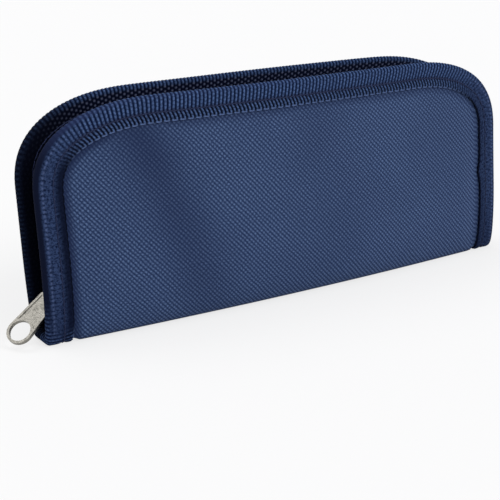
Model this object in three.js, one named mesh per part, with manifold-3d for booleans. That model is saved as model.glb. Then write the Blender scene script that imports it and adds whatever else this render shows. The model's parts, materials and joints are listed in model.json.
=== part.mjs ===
// Insulin cooling case: two padded, foil-lined leaves that a zip closes and that open like a book.
// The closed case stands on its folded spine. Sizes are in millimetres, +Z is up, +X runs along
// the case, and the front leaf is on the -Y side.
import * as THREE from 'three';
import { mergeVertices } from 'three/addons/utils/BufferGeometryUtils.js';
import Module from 'manifold-3d';

const library = await Module();
library.setup();

// Driving dimensions of the whole case
const caseLength = 200;
const caseHeight = 81;
const middleSpread = 14.2; // from the middle plane to the middle of a leaf, halfway along
const endSpread = 7.8; // the same at the two ends
const middleFlat = 15; // width of the flat fold that the case stands on, halfway along
const endFlat = 8.4; // and at the two ends
const bowHeight = 28; // height over which a leaf rounds out of the fold
const leanBack = 5.6; // how far the closed case leans back at its top
const cornerAcross = 48; // the rounded top corners, along the case
const cornerDown = 30; // and down its ends
const cornerFullness = 2.4; // 2 is an ellipse, more is squarer
const clearance = 0.3; // gap between pieces that touch

// Bound edge of a leaf
const edgeThickness = 3.6;
const tapeThickness = 0.8;
const bindingWidth = 9.6; // on the outer face
const innerBindingWidth = 8.5; // on the face towards the contents
const noseRound = 1.4; // how far in the edge's rounding reaches
const foldTop = 9.5; // height where the bound edge turns into the spine's fold

// Padded panel of a leaf
const coverThickness = 0.5;
const coverSeat = 0.2; // from the leaf's middle surface to the cover's inner face at the edge
const swellWidth = 14; // over which the panel rises to its full thickness
const coverRise = 1.3;
const foamEdge = 0.7; // foam on the inner side of the middle surface, at its edge
const foamGrowth = 2.2; // and what it gains in the middle
const padMargin = 3.4; // from the binding to the foam
const foilThickness = 0.5;
const bubbleHeight = 0.9;
const bubblePitch = 8;

// Spine
const spineStrip = 0.6; // thickness of the lining strip between the two foils
const stripSeat = 0.3; // from the middle surface to the strip

// Zip
const zipFoot = 12.5; // height where the zip's two ends start
const zipEndInset = 15.5; // chain's distance in from the case's ends
const zipTopInset = 10.5; // and from its top
const zipCornerAcross = 40;
const zipCornerDown = 22;
const zipTapeThickness = 0.5;
const zipTapeHold = 3; // how far in from the edge the tape starts
const toothPitch = 2.8;
const toothRoot = 1.3;
const toothTip = 0.8;
const toothReach = 0.7; // past the middle plane
const toothBase = 1;
const coilEdge = 1.9; // outer side of the coil, from the middle plane
const coilThickness = 1.9;
const flatTape = 5.6; // the tape lies flat beside the chain as far as this
const stopHeight = 2.2;
const stopWall = 0.7;

// Slider, named from its mouth, which points down at the case's left end
const sliderMouth = 14.6;
const sliderLength = 12.4;
const meshStart = 24; // above this height the two rows of teeth are in mesh
const partingLength = 7;
const partingWidth = 1.9;
const sliderPlate = 0.9;
const sliderFlange = 0.9;
const channelPlay = 0.35;
const postGap = 0.3;
const tapeSlot = 1.2;
const cornerSoftening = 0.5; // bevel of the casting's outer edges
const bridgeWidth = 1.9;
const bridgeThickness = 0.8;
const bridgeHeight = 4;
const bridgeLength = 8.6;

// Pull
const pullReach = 23.6; // from its crossbar to the middle of its hole
const pullWidth = 9.4;
const shoulderWidth = 7;
const neckWidth = 4.6;
const neckLength = 6.6;
const shoulderLength = 2;
const holeWidth = 7.6;
const pullThickness = 0.9;
const rimThickness = 1.4;
const rimWidth = 0.8;
const crossbar = 1;
const slotWidth = 3;
const slotLength = 5.6;
const pullSwing = THREE.MathUtils.degToRad(52); // out from hanging straight down
const pullTurn = THREE.MathUtils.degToRad(30); // its face turned to the front, loose on the bridge
const pullYaw = THREE.MathUtils.degToRad(-3); // its tip turned to the front

// Elastic strap on the back leaf's lining
const strapWidth = 22;
const strapMiddle = -30;
const strapThickness = 1;
const strapFoot = 17;
const strapTop = 66;
const strapSeam = 5; // length sewn flat at each end
const strapBow = 8;

// Fabric tab on the zip's far end
const tabLength = 22;
const tabWidth = 8.8;
const tabWall = 0.7;
const tabHeight = 3.8;
const tabEndInset = 24; // from the case's end to the tab's mouth
const tailGrip = 5; // how much of the zip's tail the tab holds
const tailWidth = 8.2;
const tailTape = 0.6;
const tailCoil = 1.8;
const tailCoilWidth = 3.6;
const tailBend = 3;

// Derived sizes
const halfLength = caseLength / 2;
const halfEdge = edgeThickness / 2;
const spineHeight = halfEdge;
const edgeInside = halfEdge - tapeThickness;
const leanSlope = leanBack / (caseHeight - spineHeight);
const padInset = bindingWidth + padMargin;
const FRONT = -1;
const BACK = 1;

// Sections of the case

function middleY(z) {
  return leanSlope * (z - spineHeight);
}

function spreadAt(x) {
  return middleSpread - (middleSpread - endSpread) * (x / halfLength) ** 2;
}

// Half the width of the fold that the case stands on
function halfFlat(x) {
  return (middleFlat - (middleFlat - endFlat) * (x / halfLength) ** 2) / 2;
}

// A point of a leaf, `out` from its middle surface towards the outside of the case
function leafPoint(side, x, z, out) {
  const rest = 1 - Math.min(1, Math.max(0, (z - spineHeight) / bowHeight));
  const share = Math.max(Math.sqrt(1 - rest * rest), Number.EPSILON);
  const width = spreadAt(x) - halfFlat(x);
  const y = middleY(z) + side * (halfFlat(x) + width * share);
  const slope = leanSlope + (side * width * rest) / (share * bowHeight);
  const size = Math.hypot(1, slope);
  return new THREE.Vector3(x, y + (side * out) / size, z - (side * slope * out) / size);
}

// A rim line runs up the left end, round the top and down the right end, as u goes from 0 to 5.
// It lies `ends` and `top` in from the edge of the case and starts and stops at the height `foot`.
function rimLine({ ends, top, across, down, foot }) {
  const side = halfLength - ends;
  const crown = caseHeight - top;
  const power = 2 / cornerFullness;
  return (u) => {
    const left = u < 2.5;
    const v = left ? u : 5 - u;
    let x = side;
    let z = crown;
    if (v <= 1) z = foot + (crown - down - foot) * v;
    else if (v <= 2) {
      const turn = ((v - 1) * Math.PI) / 2;
      x = side - across + across * Math.cos(turn) ** power;
      z = crown - down + down * Math.sin(turn) ** power;
    } else x = (side - across) * (5 - 2 * v);
    return { x: left ? -x : x, z };
  };
}

// The rim's point at u, moved `inset` into the leaf
function rimPoint(line, u, inset) {
  const step = 1e-4;
  const a = line(Math.max(0, u - step));
  const b = line(Math.min(5, u + step));
  const size = Math.hypot(b.x - a.x, b.z - a.z);
  const p = line(u);
  const inward = { x: (b.z - a.z) / size, z: (a.x - b.x) / size };
  return { x: p.x + inward.x * inset, z: p.z + inward.z * inset, inward };
}

const edgeShape = { ends: 0, top: 0, across: cornerAcross, down: cornerDown };
const edgeLine = rimLine({ ...edgeShape, foot: foldTop });

const steps = (from, to, count) =>
  Array.from({ length: count + 1 }, (_, i) => from + ((to - from) * i) / count);
const rimSteps = [
  ...steps(0, 1, 4).slice(0, -1),
  ...steps(1, 2, 8).slice(0, -1),
  ...steps(2, 3, 6).slice(0, -1),
  ...steps(3, 4, 8).slice(0, -1),
  ...steps(4, 5, 4),
];

// Solids from points

function closedSolid(points, triangles) {
  let volume = 0;
  for (const [a, b, c] of triangles) {
    volume += points[a].dot(new THREE.Vector3().crossVectors(points[b], points[c]));
  }
  const index = triangles.flatMap(([a, b, c]) => (volume > 0 ? [a, b, c] : [a, c, b]));
  const geometry = new THREE.BufferGeometry().setFromPoints(points);
  geometry.setIndex(index);
  return geometry;
}

// A closed section carried through a row of places; `outline` is the section drawn flat
function sweptSolid(rings, outline) {
  const count = outline.length;
  const triangles = [];
  for (let r = 0; r < rings.length - 1; r += 1) {
    for (let k = 0; k < count; k += 1) {
      const a = r * count + k;
      const b = r * count + ((k + 1) % count);
      triangles.push([a, b, b + count], [a, b + count, a + count]);
    }
  }
  const last = (rings.length - 1) * count;
  for (const [a, b, c] of THREE.ShapeUtils.triangulateShape(outline, [])) {
    const forward = THREE.ShapeUtils.isClockWise(outline) ? [a, b, c] : [a, c, b];
    triangles.push(forward, [forward[0] + last, forward[2] + last, forward[1] + last]);
  }
  return closedSolid(rings.flat(), orientCaps(triangles, rings.length, count));
}

// Turns the two end caps, if need be, so that they agree with the swept sides
function orientCaps(triangles, rings, count) {
  const sides = (rings - 1) * count * 2;
  const edgesOf = ([a, b, c]) => [`${a},${b}`, `${b},${c}`, `${c},${a}`];
  const edges = new Set(triangles.slice(0, sides).flatMap(edgesOf));
  const clash = triangles.slice(sides).some((t) => edgesOf(t).some((edge) => edges.has(edge)));
  return triangles.map((t, i) => (i >= sides && clash ? [t[0], t[2], t[1]] : t));
}

// A sheet between two grids of points; with `raise`, each cell of the second has a raised middle
function sheetSolid(outer, inner, raise) {
  const rows = outer.length;
  const columns = outer[0].length;
  const size = rows * columns;
  const points = [...outer.flat(), ...inner.flat()];
  const triangles = [];
  for (let i = 0; i < rows - 1; i += 1) {
    for (let j = 0; j < columns - 1; j += 1) {
      const a = i * columns + j;
      const b = a + 1;
      const c = b + columns;
      const d = a + columns;
      triangles.push([a, b, c], [a, c, d]);
      if (raise) {
        const top = points.push(raise(i, j)) - 1;
        const ring = [a, b, c, d].map((n) => n + size);
        ring.forEach((n, k) => triangles.push([ring[(k + 1) % 4], n, top]));
      } else triangles.push([a + size, c + size, b + size], [a + size, d + size, c + size]);
    }
  }
  const border = [];
  for (let j = 0; j < columns - 1; j += 1) border.push(j);
  for (let i = 0; i < rows - 1; i += 1) border.push(i * columns + columns - 1);
  for (let j = columns - 1; j > 0; j -= 1) border.push((rows - 1) * columns + j);
  for (let i = rows - 1; i > 0; i -= 1) border.push(i * columns);
  border.forEach((a, k) => {
    const b = border[(k + 1) % border.length];
    triangles.push([b, a, a + size], [b, a + size, b + size]);
  });
  return closedSolid(points, triangles);
}

function manifoldOf(geometry) {
  const bare = geometry.clone();
  bare.deleteAttribute('normal');
  bare.deleteAttribute('uv');
  const merged = mergeVertices(bare, clearance / 1000);
  const mesh = new library.Mesh({
    numProp: 3,
    vertProperties: new Float32Array(merged.attributes.position.array),
    triVerts: new Uint32Array(merged.index.array),
  });
  return new library.Manifold(mesh);
}

function geometryOf(solid) {
  const mesh = solid.getMesh();
  const geometry = new THREE.BufferGeometry();
  const corners = Float32Array.from(mesh.vertProperties);
  geometry.setAttribute('position', new THREE.BufferAttribute(corners, 3));
  geometry.setIndex(Array.from(mesh.triVerts));
  return geometry;
}

// Colours and finishes
function finish(color, roughness, metalness = 0) {
  return new THREE.MeshStandardMaterial({ color, roughness, metalness });
}
const finishes = {
  cover: finish(0x2c4468, 0.85),
  binding: finish(0x24395c, 0.9),
  lining: finish(0x1b2a55, 0.9),
  foam: finish(0xe8e8e4, 0.95),
  foil: finish(0xc9cbcc, 0.3, 0.8),
  zipTape: finish(0x141f38, 0.9),
  zipCoil: finish(0x10182c, 0.5),
  nickel: finish(0xb9b4aa, 0.35, 1),
};

const coolingCase = new THREE.Group();

function place(name, geometry, material, parent = coolingCase) {
  const mesh = new THREE.Mesh(geometry, material);
  mesh.name = name;
  parent.add(mesh);
  return mesh;
}

// Padded panels: cover, foam and foil share one grid of rows and columns

const padTop = caseHeight - padInset;
const padHalfAt = (z) => rimHalf(padInset, z);
const panelFoot = foldTop + clearance;
const panelColumns = Math.round((caseLength - 2 * padInset) / bubblePitch);
const straightRows = Math.round((caseHeight - cornerDown - panelFoot) / bubblePitch);
const cornerRows = Math.round((cornerDown - padInset) / bubblePitch) + 2;

// Half the length of an outline that lies `inset` in from the edge, at a height
function rimHalf(inset, z) {
  const across = cornerAcross - inset;
  const down = cornerDown - inset;
  const up = Math.max(0, (z - (caseHeight - cornerDown)) / down);
  const bent = Math.max(0, 1 - Math.min(1, up) ** cornerFullness) ** (1 / cornerFullness);
  return halfLength - inset - across + across * bent;
}

const edgeSamples = steps(0, 5, 300).map((u) => rimLine({ ...edgeShape, foot: 0 })(u));
function edgeDistance(x, z) {
  return Math.sqrt(Math.min(...edgeSamples.map((p) => (p.x - x) ** 2 + (p.z - z) ** 2)));
}

// 0 beside the binding, 1 where the panel has its full thickness
function swell(x, z) {
  const t = Math.min(1, Math.max(0, (edgeDistance(x, z) - padInset) / swellWidth));
  return t * t * (3 - 2 * t);
}

const coverInner = (x, z) => coverSeat + coverRise * swell(x, z);
const foamInner = (x, z) => -foamEdge - foamGrowth * swell(x, z);
const foilOuter = (x, z) => foamInner(x, z) - clearance;
const foilInner = (x, z) => foilOuter(x, z) - foilThickness;

const cornerFoot = caseHeight - cornerDown;
const cornerRise = (turn) => (cornerDown - padInset) * Math.sin(turn) ** (2 / cornerFullness);
const padRows = [
  ...steps(panelFoot, cornerFoot, straightRows).slice(0, -1),
  ...steps(0, Math.PI / 2, cornerRows).map((turn) => cornerFoot + cornerRise(turn)),
];
const padShares = steps(-1, 1, panelColumns);
const padGrid = padRows.map((z) => padShares.map((share) => ({ x: share * padHalfAt(z), z })));

// The cover goes on under the binding, past the pad's grid on both ends and at the top
const coverInset = tapeThickness + clearance;
const coverTop = caseHeight - coverInset;
const coverRows = [...padRows, (padTop + coverTop) / 2, coverTop];
const coverGrid = coverRows.map((z, i) => {
  const half = Math.min(rimHalf(coverInset, z), halfLength - coverInset);
  const within = padHalfAt(Math.min(z, padRows[Math.min(i, padRows.length - 1)]));
  const middle = padShares.map((share) => share * Math.min(within, half));
  return [-half, (-half - within) / 2, ...middle, (half + within) / 2, half].map((x) => ({ x, z }));
});

const lift = (side, grid, out) => grid.map((row) => row.map(({ x, z }) => leafPoint(side, x, z, out(x, z))));

function leafCover(side) {
  return sheetSolid(
    lift(side, coverGrid, (x, z) => coverInner(x, z) + coverThickness),
    lift(side, coverGrid, coverInner),
  );
}

function leafFoam(side) {
  return sheetSolid(
    lift(side, padGrid, (x, z) => coverInner(x, z) - clearance),
    lift(side, padGrid, foamInner),
  );
}

function leafFoil(side) {
  const bubble = (i, j) => {
    const corners = [padGrid[i][j], padGrid[i][j + 1], padGrid[i + 1][j + 1], padGrid[i + 1][j]];
    const x = corners.reduce((sum, p) => sum + p.x, 0) / corners.length;
    const z = corners.reduce((sum, p) => sum + p.z, 0) / corners.length;
    return leafPoint(side, x, z, foilInner(x, z) - bubbleHeight);
  };
  return sheetSolid(lift(side, padGrid, foilOuter), lift(side, padGrid, foilInner), bubble);
}

// Woven binding: a strip folded over the edge. Each pair is a distance in from the edge and a
// distance out from the leaf's middle surface.
const noseShare = 0.35;
const bindingSection = [
  [bindingWidth, halfEdge],
  [noseRound, halfEdge],
  [noseRound * noseShare, halfEdge * (1 - noseShare)],
  [0, 0],
  [noseRound * noseShare, -halfEdge * (1 - noseShare)],
  [noseRound, -halfEdge],
  [innerBindingWidth, -halfEdge],
  [innerBindingWidth, -edgeInside],
  [tapeThickness, -edgeInside],
  [tapeThickness, edgeInside],
  [bindingWidth, edgeInside],
];
const flatSection = bindingSection.map(([inset, out]) => new THREE.Vector2(inset, out));

function leafBinding(side) {
  const rings = rimSteps.map((u) =>
    bindingSection.map(([inset, out]) => {
      const p = rimPoint(edgeLine, u, inset);
      return leafPoint(side, p.x, p.z, out);
    }),
  );
  return sweptSolid(rings, flatSection);
}

// Spine: what folds round the bottom follows one line, from the back leaf to the front leaf
const wallShares = [1, 0.6, 0.22]; // of the height from the fold up to the leaf's edge
function foldLine(x, top) {
  const walls = wallShares.map((share) => spineHeight + (top - spineHeight) * share);
  const points = walls.map((z) => leafPoint(BACK, x, z, 0));
  const flat = [halfFlat(x), -halfFlat(x)];
  points.push(...flat.map((y) => new THREE.Vector3(x, y, spineHeight)));
  points.push(...walls.reverse().map((z) => leafPoint(FRONT, x, z, 0)));
  return points;
}

// The fold's line moved `out`, with its corners mitred
function foldOffset(x, top, out) {
  const line = foldLine(x, top);
  const normals = line.slice(1).map((p, i) => {
    const along = p.clone().sub(line[i]).normalize();
    return new THREE.Vector3(0, -along.z, along.y).multiplyScalar(-1);
  });
  return line.map((p, i) => {
    const before = normals[Math.max(0, i - 1)];
    const after = normals[Math.min(i, normals.length - 1)];
    const sum = before.clone().add(after).normalize();
    return p.clone().addScaledVector(sum, -out / sum.dot(after));
  });
}

function spineFold(end) {
  const top = foldTop - clearance;
  const lines = bindingSection.map(([inset, out]) => foldOffset(end * (halfLength - inset), top, out));
  const rings = lines[0].map((_, i) => lines.map((line) => line[i]));
  return sweptSolid(rings, flatSection);
}

function spineSheet(half, top, low, high) {
  const places = steps(-half, half, 10);
  return sheetSolid(
    places.map((x) => foldOffset(x, top, high)),
    places.map((x) => foldOffset(x, top, low)),
  );
}

// Zip: the chain's own line lies inside the edge of the case, between the two leaves
const zipShape = { across: zipCornerAcross, down: zipCornerDown, foot: zipFoot };
const zipLine = rimLine({ ...zipShape, ends: zipEndInset, top: zipTopInset });
const tapeLine = rimLine({ ...edgeShape, foot: zipFoot });

const zipStraight = caseHeight - zipTopInset - zipCornerDown - zipFoot;
const shoulderHeight = meshStart - partingLength;
const partingSteps = [shoulderHeight, meshStart].map((z) => (z - zipFoot) / zipStraight);
const tapeSteps = [...rimSteps, ...partingSteps].sort((a, b) => a - b);

// How far each row of teeth stands off the middle, where the slider parts them
function parting(x, z) {
  const travelled = (meshStart - z) / partingLength;
  return x < 0 ? partingWidth * Math.min(1, Math.max(0, travelled)) : 0;
}

function zipTape(side) {
  const half = zipTapeThickness / 2;
  const seat = edgeInside - clearance - half;
  const rings = tapeSteps.map((u) => {
    const chain = rimPoint(zipLine, u, 0);
    const shift = parting(chain.x, chain.z);
    const under = [zipTapeHold, innerBindingWidth + clearance].map((inset) => {
      const p = rimPoint(tapeLine, u, inset);
      return [leafPoint(side, p.x, p.z, half - seat), leafPoint(side, p.x, p.z, -half - seat)];
    });
    const beside = [flatTape, coilEdge + clearance + shift].map((far) =>
      [half, -half].map((deep) => {
        const y = middleY(chain.z) + side * far;
        return new THREE.Vector3(chain.x + chain.inward.x * deep, y, chain.z + chain.inward.z * deep);
      }),
    );
    const route = [...under, ...beside];
    return [...route.map(([a]) => a), ...route.map(([, b]) => b).reverse()];
  });
  const reach = innerBindingWidth - zipTapeHold;
  const run = [0, reach, reach + flatTape, reach + 2 * flatTape];
  const outline = [
    ...run.map((r) => new THREE.Vector2(r, 0)),
    ...run.reverse().map((r) => new THREE.Vector2(r, zipTapeThickness)),
  ];
  return sweptSolid(rings, outline);
}

// The chain's line measured along its length
const chainPoints = steps(0, 5, 1000).map((u) => rimPoint(zipLine, u, 0));
const chainLengths = chainPoints.map(() => 0);
chainPoints.forEach((p, i) => {
  if (i === 0) return;
  const q = chainPoints[i - 1];
  chainLengths[i] = chainLengths[i - 1] + Math.hypot(p.x - q.x, p.z - q.z);
});
const chainLength = chainLengths[chainLengths.length - 1];
const toothCount = Math.floor(chainLength / toothPitch) - 1;

function chainAt(length) {
  let i = chainLengths.findIndex((l) => l >= length);
  i = Math.min(Math.max(i < 0 ? chainLengths.length - 1 : i, 1), chainLengths.length - 1);
  const share = (length - chainLengths[i - 1]) / (chainLengths[i] - chainLengths[i - 1]);
  const a = chainPoints[i - 1];
  const b = chainPoints[i];
  const mix = (p, q) => p + (q - p) * share;
  return {
    x: mix(a.x, b.x),
    z: mix(a.z, b.z),
    inward: { x: mix(a.inward.x, b.inward.x), z: mix(a.inward.z, b.inward.z) },
  };
}

// One half of the coil: a row of teeth on a band, as a comb that follows the chain
function zipCoil(side) {
  const start = side === FRONT ? toothPitch / 2 : toothPitch;
  const points = [];
  const triangles = [];
  const add = (length, far) => {
    const p = chainAt(length);
    const y = middleY(p.z) + side * (far + parting(p.x, p.z));
    for (const deep of [-coilThickness / 2, coilThickness / 2]) {
      points.push(new THREE.Vector3(p.x + p.inward.x * deep, y, p.z + p.inward.z * deep));
    }
    return points.length / 2 - 1;
  };
  const skin = [];
  let last = null;
  for (let i = 0; i < toothCount; i += 1) {
    const at = start + i * toothPitch;
    const tooth = {
      base: add(at, coilEdge),
      low: add(at - toothRoot / 2, toothBase),
      lowTip: add(at - toothTip / 2, -toothReach),
      highTip: add(at + toothTip / 2, -toothReach),
      high: add(at + toothRoot / 2, toothBase),
    };
    skin.push([tooth.low, tooth.lowTip, tooth.highTip], [tooth.low, tooth.highTip, tooth.high]);
    skin.push([tooth.base, tooth.low, tooth.high]);
    if (last) skin.push([last.base, last.high, tooth.low], [last.base, tooth.low, tooth.base]);
    last = tooth;
  }
  const uses = new Map();
  for (const [a, b, c] of skin) {
    triangles.push([2 * a, 2 * b, 2 * c], [2 * a + 1, 2 * c + 1, 2 * b + 1]);
    for (const [p, q] of [[a, b], [b, c], [c, a]]) {
      if (uses.has(`${q},${p}`)) uses.delete(`${q},${p}`);
      else uses.set(`${p},${q}`, [p, q]);
    }
  }
  for (const [p, q] of uses.values()) {
    triangles.push([2 * q, 2 * p, 2 * p + 1], [2 * q, 2 * p + 1, 2 * q + 1]);
  }
  return closedSolid(points, triangles);
}

// A crimped stop: a channel that grips the tape's edge below the last tooth
function topStop(side) {
  const depth = coilThickness + clearance;
  const width = coilEdge + toothReach;
  const slot = zipTapeThickness + 2 * clearance;
  const shape = new THREE.Shape();
  shape.moveTo(-depth / 2, 0);
  shape.lineTo(depth / 2, 0);
  shape.lineTo(depth / 2, width);
  shape.lineTo(slot / 2, width);
  shape.lineTo(slot / 2, stopWall);
  shape.lineTo(-slot / 2, stopWall);
  shape.lineTo(-slot / 2, width);
  shape.lineTo(-depth / 2, width);
  shape.closePath();
  const geometry = new THREE.ExtrudeGeometry(shape, { depth: stopHeight, bevelEnabled: false });
  const foot = zipFoot - stopHeight;
  const inner = middleY(zipFoot) + side * (partingWidth - toothReach);
  if (side === FRONT) geometry.rotateZ(Math.PI);
  geometry.translate(-halfLength + zipEndInset, inner, foot);
  return geometry;
}

// Slider: a casting with a channel that parts at its mouth round a post, open slots for the
// tapes at its sides, and a bridge on its outer face

const chainX = -halfLength + zipEndInset;
const sliderRear = sliderMouth + sliderLength;
const channelHalf = coilThickness / 2 + channelPlay;
const sliderHalf = channelHalf + sliderPlate;
const channelEdge = (z) => coilEdge + channelPlay + parting(-halfLength, z);

// Draws a shape across (y) and along (z) and gives it a thickness in x about the chain
function slab(corners, thickness) {
  const shape = new THREE.Shape(corners.map(([y, z]) => new THREE.Vector2(y, z)));
  const geometry = new THREE.ExtrudeGeometry(shape, { depth: thickness, bevelEnabled: false });
  geometry.translate(0, 0, -thickness / 2);
  geometry.applyMatrix4(new THREE.Matrix4().set(0, 0, 1, 0, 1, 0, 0, 0, 0, 1, 0, 0, 0, 0, 0, 1));
  return geometry;
}

const mirrored = (half) => [...half, ...half.map(([y, z]) => [-y, z]).reverse()];

function sliderBody() {
  const soft = cornerSoftening;
  const outline = mirrored([
    [channelEdge(sliderMouth) + sliderFlange - soft, sliderMouth],
    [channelEdge(sliderMouth) + sliderFlange, sliderMouth + soft],
    [channelEdge(shoulderHeight) + sliderFlange, shoulderHeight],
    [coilEdge + channelPlay + sliderFlange, meshStart],
    [coilEdge + channelPlay + sliderFlange, sliderRear - soft],
    [coilEdge + channelPlay + sliderFlange - soft, sliderRear],
  ]);
  const over = sliderPlate;
  const channel = mirrored([
    [channelEdge(sliderMouth), sliderMouth - over],
    [channelEdge(shoulderHeight), shoulderHeight],
    [coilEdge + channelPlay, meshStart],
    [coilEdge + channelPlay, sliderRear + over],
  ]);
  const postWidth = partingWidth - toothReach - postGap;
  const postTip = meshStart - (partingLength * (toothReach + postGap)) / partingWidth;
  const post = [
    [postWidth, sliderMouth + soft],
    [postWidth, shoulderHeight],
    [0, postTip],
    [-postWidth, shoulderHeight],
    [-postWidth, sliderMouth + soft],
  ];
  const wide = 2 * (channelEdge(sliderMouth) + sliderFlange + over);
  const slots = [FRONT, BACK].map((side) => {
    const slot = new THREE.BoxGeometry(tapeSlot, wide / 2, sliderLength + 2 * over);
    slot.translate(0, side * (coilEdge + wide / 4), sliderMouth + sliderLength / 2);
    return manifoldOf(slot);
  });
  let body = manifoldOf(slab(outline, 2 * sliderHalf)).subtract(manifoldOf(slab(channel, 2 * channelHalf)));
  for (const slot of slots) body = body.subtract(slot);
  const core = manifoldOf(slab(post, 2 * sliderHalf - sliderPlate));
  return body.add(core).add(bridge());
}

// The bridge is a low arch along the slider; the pull's crossbar lies under it
const bridgeMiddle = sliderMouth + sliderLength / 2 - cornerSoftening;
function bridge() {
  const half = bridgeLength / 2;
  const inside = half - bridgeThickness;
  const rise = bridgeHeight - bridgeThickness;
  const root = sliderHalf - sliderPlate / 2;
  const shape = new THREE.Shape();
  shape.moveTo(root, -half);
  shape.lineTo(sliderHalf + rise / 2, -half);
  shape.quadraticCurveTo(sliderHalf + bridgeHeight, -half, sliderHalf + bridgeHeight, -half + rise);
  shape.lineTo(sliderHalf + bridgeHeight, half - rise);
  shape.quadraticCurveTo(sliderHalf + bridgeHeight, half, sliderHalf + rise / 2, half);
  shape.lineTo(root, half);
  shape.lineTo(root, inside);
  shape.lineTo(sliderHalf + rise / 2, inside);
  shape.quadraticCurveTo(sliderHalf + rise, inside, sliderHalf + rise, inside - rise / 2);
  shape.lineTo(sliderHalf + rise, -inside + rise / 2);
  shape.quadraticCurveTo(sliderHalf + rise, -inside, sliderHalf + rise / 2, -inside);
  shape.lineTo(root, -inside);
  shape.closePath();
  const settings = { depth: bridgeWidth, bevelEnabled: false, curveSegments: 4 };
  const geometry = new THREE.ExtrudeGeometry(shape, settings);
  geometry.translate(0, 0, -bridgeWidth / 2);
  const outward = new THREE.Matrix4().set(-1, 0, 0, 0, 0, 0, 1, 0, 0, 1, 0, bridgeMiddle, 0, 0, 0, 1);
  geometry.applyMatrix4(outward);
  return manifoldOf(geometry);
}

// The slider stands on the chain, which leans with the case
const slider = new THREE.Group();
slider.position.set(chainX, middleY(sliderMouth) - leanSlope * sliderMouth, 0);

// Pull: a flat plate that widens to its tip, with a raised rim, a round hole and a slotted neck
// for the bridge. It is drawn in its own plane, with its crossbar at the origin and its tip along -Y.
function pullPlate() {
  const holeAt = -pullReach;
  const shoulder = -neckLength - shoulderLength;
  const blade = (inset, top) => {
    const tip = pullWidth / 2 - inset;
    const wide = shoulderWidth / 2 - inset;
    const shape = new THREE.Shape();
    shape.moveTo(-wide, top);
    shape.lineTo(-tip, holeAt);
    shape.absarc(0, holeAt, tip, Math.PI, 2 * Math.PI, false);
    shape.lineTo(wide, top);
    shape.closePath();
    return shape;
  };
  const neck = new THREE.Shape([
    new THREE.Vector2(-neckWidth / 2, crossbar / 2),
    new THREE.Vector2(-neckWidth / 2, -neckLength),
    new THREE.Vector2(-shoulderWidth / 2, shoulder),
    new THREE.Vector2(shoulderWidth / 2, shoulder),
    new THREE.Vector2(neckWidth / 2, -neckLength),
    new THREE.Vector2(neckWidth / 2, crossbar / 2),
  ]);
  const slot = new THREE.Shape([
    new THREE.Vector2(-slotWidth / 2, -crossbar / 2),
    new THREE.Vector2(-slotWidth / 2, -slotLength),
    new THREE.Vector2(slotWidth / 2, -slotLength),
    new THREE.Vector2(slotWidth / 2, -crossbar / 2),
  ]);
  const disc = (radius) => new THREE.Shape().absarc(0, holeAt, radius, 0, 2 * Math.PI, false);
  const solid = (shape, thickness) => {
    const settings = { depth: thickness, bevelEnabled: false, curveSegments: 14 };
    const geometry = new THREE.ExtrudeGeometry(shape, settings);
    geometry.translate(0, 0, -thickness / 2);
    return manifoldOf(geometry);
  };
  const sunk = rimThickness - pullThickness;
  const ring = solid(disc(pullWidth / 2), rimThickness);
  const field = solid(blade(rimWidth, shoulder - rimWidth), sunk).subtract(ring);
  const plate = solid(blade(0, shoulder), rimThickness)
    .subtract(field.translate(0, 0, rimThickness / 2))
    .subtract(field.translate(0, 0, -rimThickness / 2))
    .subtract(solid(disc(holeWidth / 2), 2 * rimThickness));
  return geometryOf(plate.add(solid(neck, pullThickness)).subtract(solid(slot, rimThickness)));
}

const pull = new THREE.Group();
const bridgeInside = sliderHalf + (bridgeHeight - bridgeThickness) / 2;
pull.position.set(-bridgeInside, 0, bridgeMiddle);
const turned = new THREE.Matrix4().makeBasis(
  new THREE.Vector3(0, 1, 0),
  new THREE.Vector3(0, 0, 1),
  new THREE.Vector3(1, 0, 0),
);
const swung = new THREE.Matrix4().makeRotationY(pullSwing);
const twisted = new THREE.Matrix4().makeRotationZ(pullTurn);
const yawed = new THREE.Matrix4().makeRotationX(pullYaw);
pull.setRotationFromMatrix(swung.multiply(yawed).multiply(twisted).multiply(turned));

// Elastic strap: sewn flat at both ends and standing off the foil between them
function elasticStrap() {
  const x = [strapMiddle - strapWidth / 2, strapMiddle + strapWidth / 2];
  const low = strapFoot + strapSeam;
  const high = strapTop - strapSeam;
  const places = [strapFoot, ...steps(low, high, 12), strapTop];
  const rings = places.map((z) => {
    const t = Math.min(1, Math.max(0, (z - low) / (high - low)));
    const bow = strapBow * Math.sin(Math.PI * t) ** 2;
    const seat = foilInner(strapMiddle, z) - bubbleHeight - clearance - bow;
    return [
      leafPoint(BACK, x[0], z, seat),
      leafPoint(BACK, x[1], z, seat),
      leafPoint(BACK, x[1], z, seat - strapThickness),
      leafPoint(BACK, x[0], z, seat - strapThickness),
    ];
  });
  const outline = [[0, 0], [strapWidth, 0], [strapWidth, strapThickness], [0, strapThickness]];
  return sweptSolid(rings, outline.map(([a, b]) => new THREE.Vector2(a, b)));
}

// Far end of the zip: a stop over both rows, a tail turned in along the spine, and its tab
const farX = halfLength - zipEndInset;
const tabMouth = halfLength - tabEndInset;
const tabNear = tabMouth - tabLength;
const tabFloor = spineHeight + stripSeat + spineStrip + clearance;
const tailHeight = tabFloor + tabHeight / 2;

function bottomStop() {
  const depth = coilThickness + clearance;
  const geometry = new THREE.BoxGeometry(depth, 2 * coilEdge + 2 * stopWall, stopHeight, 1, 1, 1);
  geometry.translate(farX, middleY(zipFoot), zipFoot - clearance - stopHeight / 2);
  return geometry;
}

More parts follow.
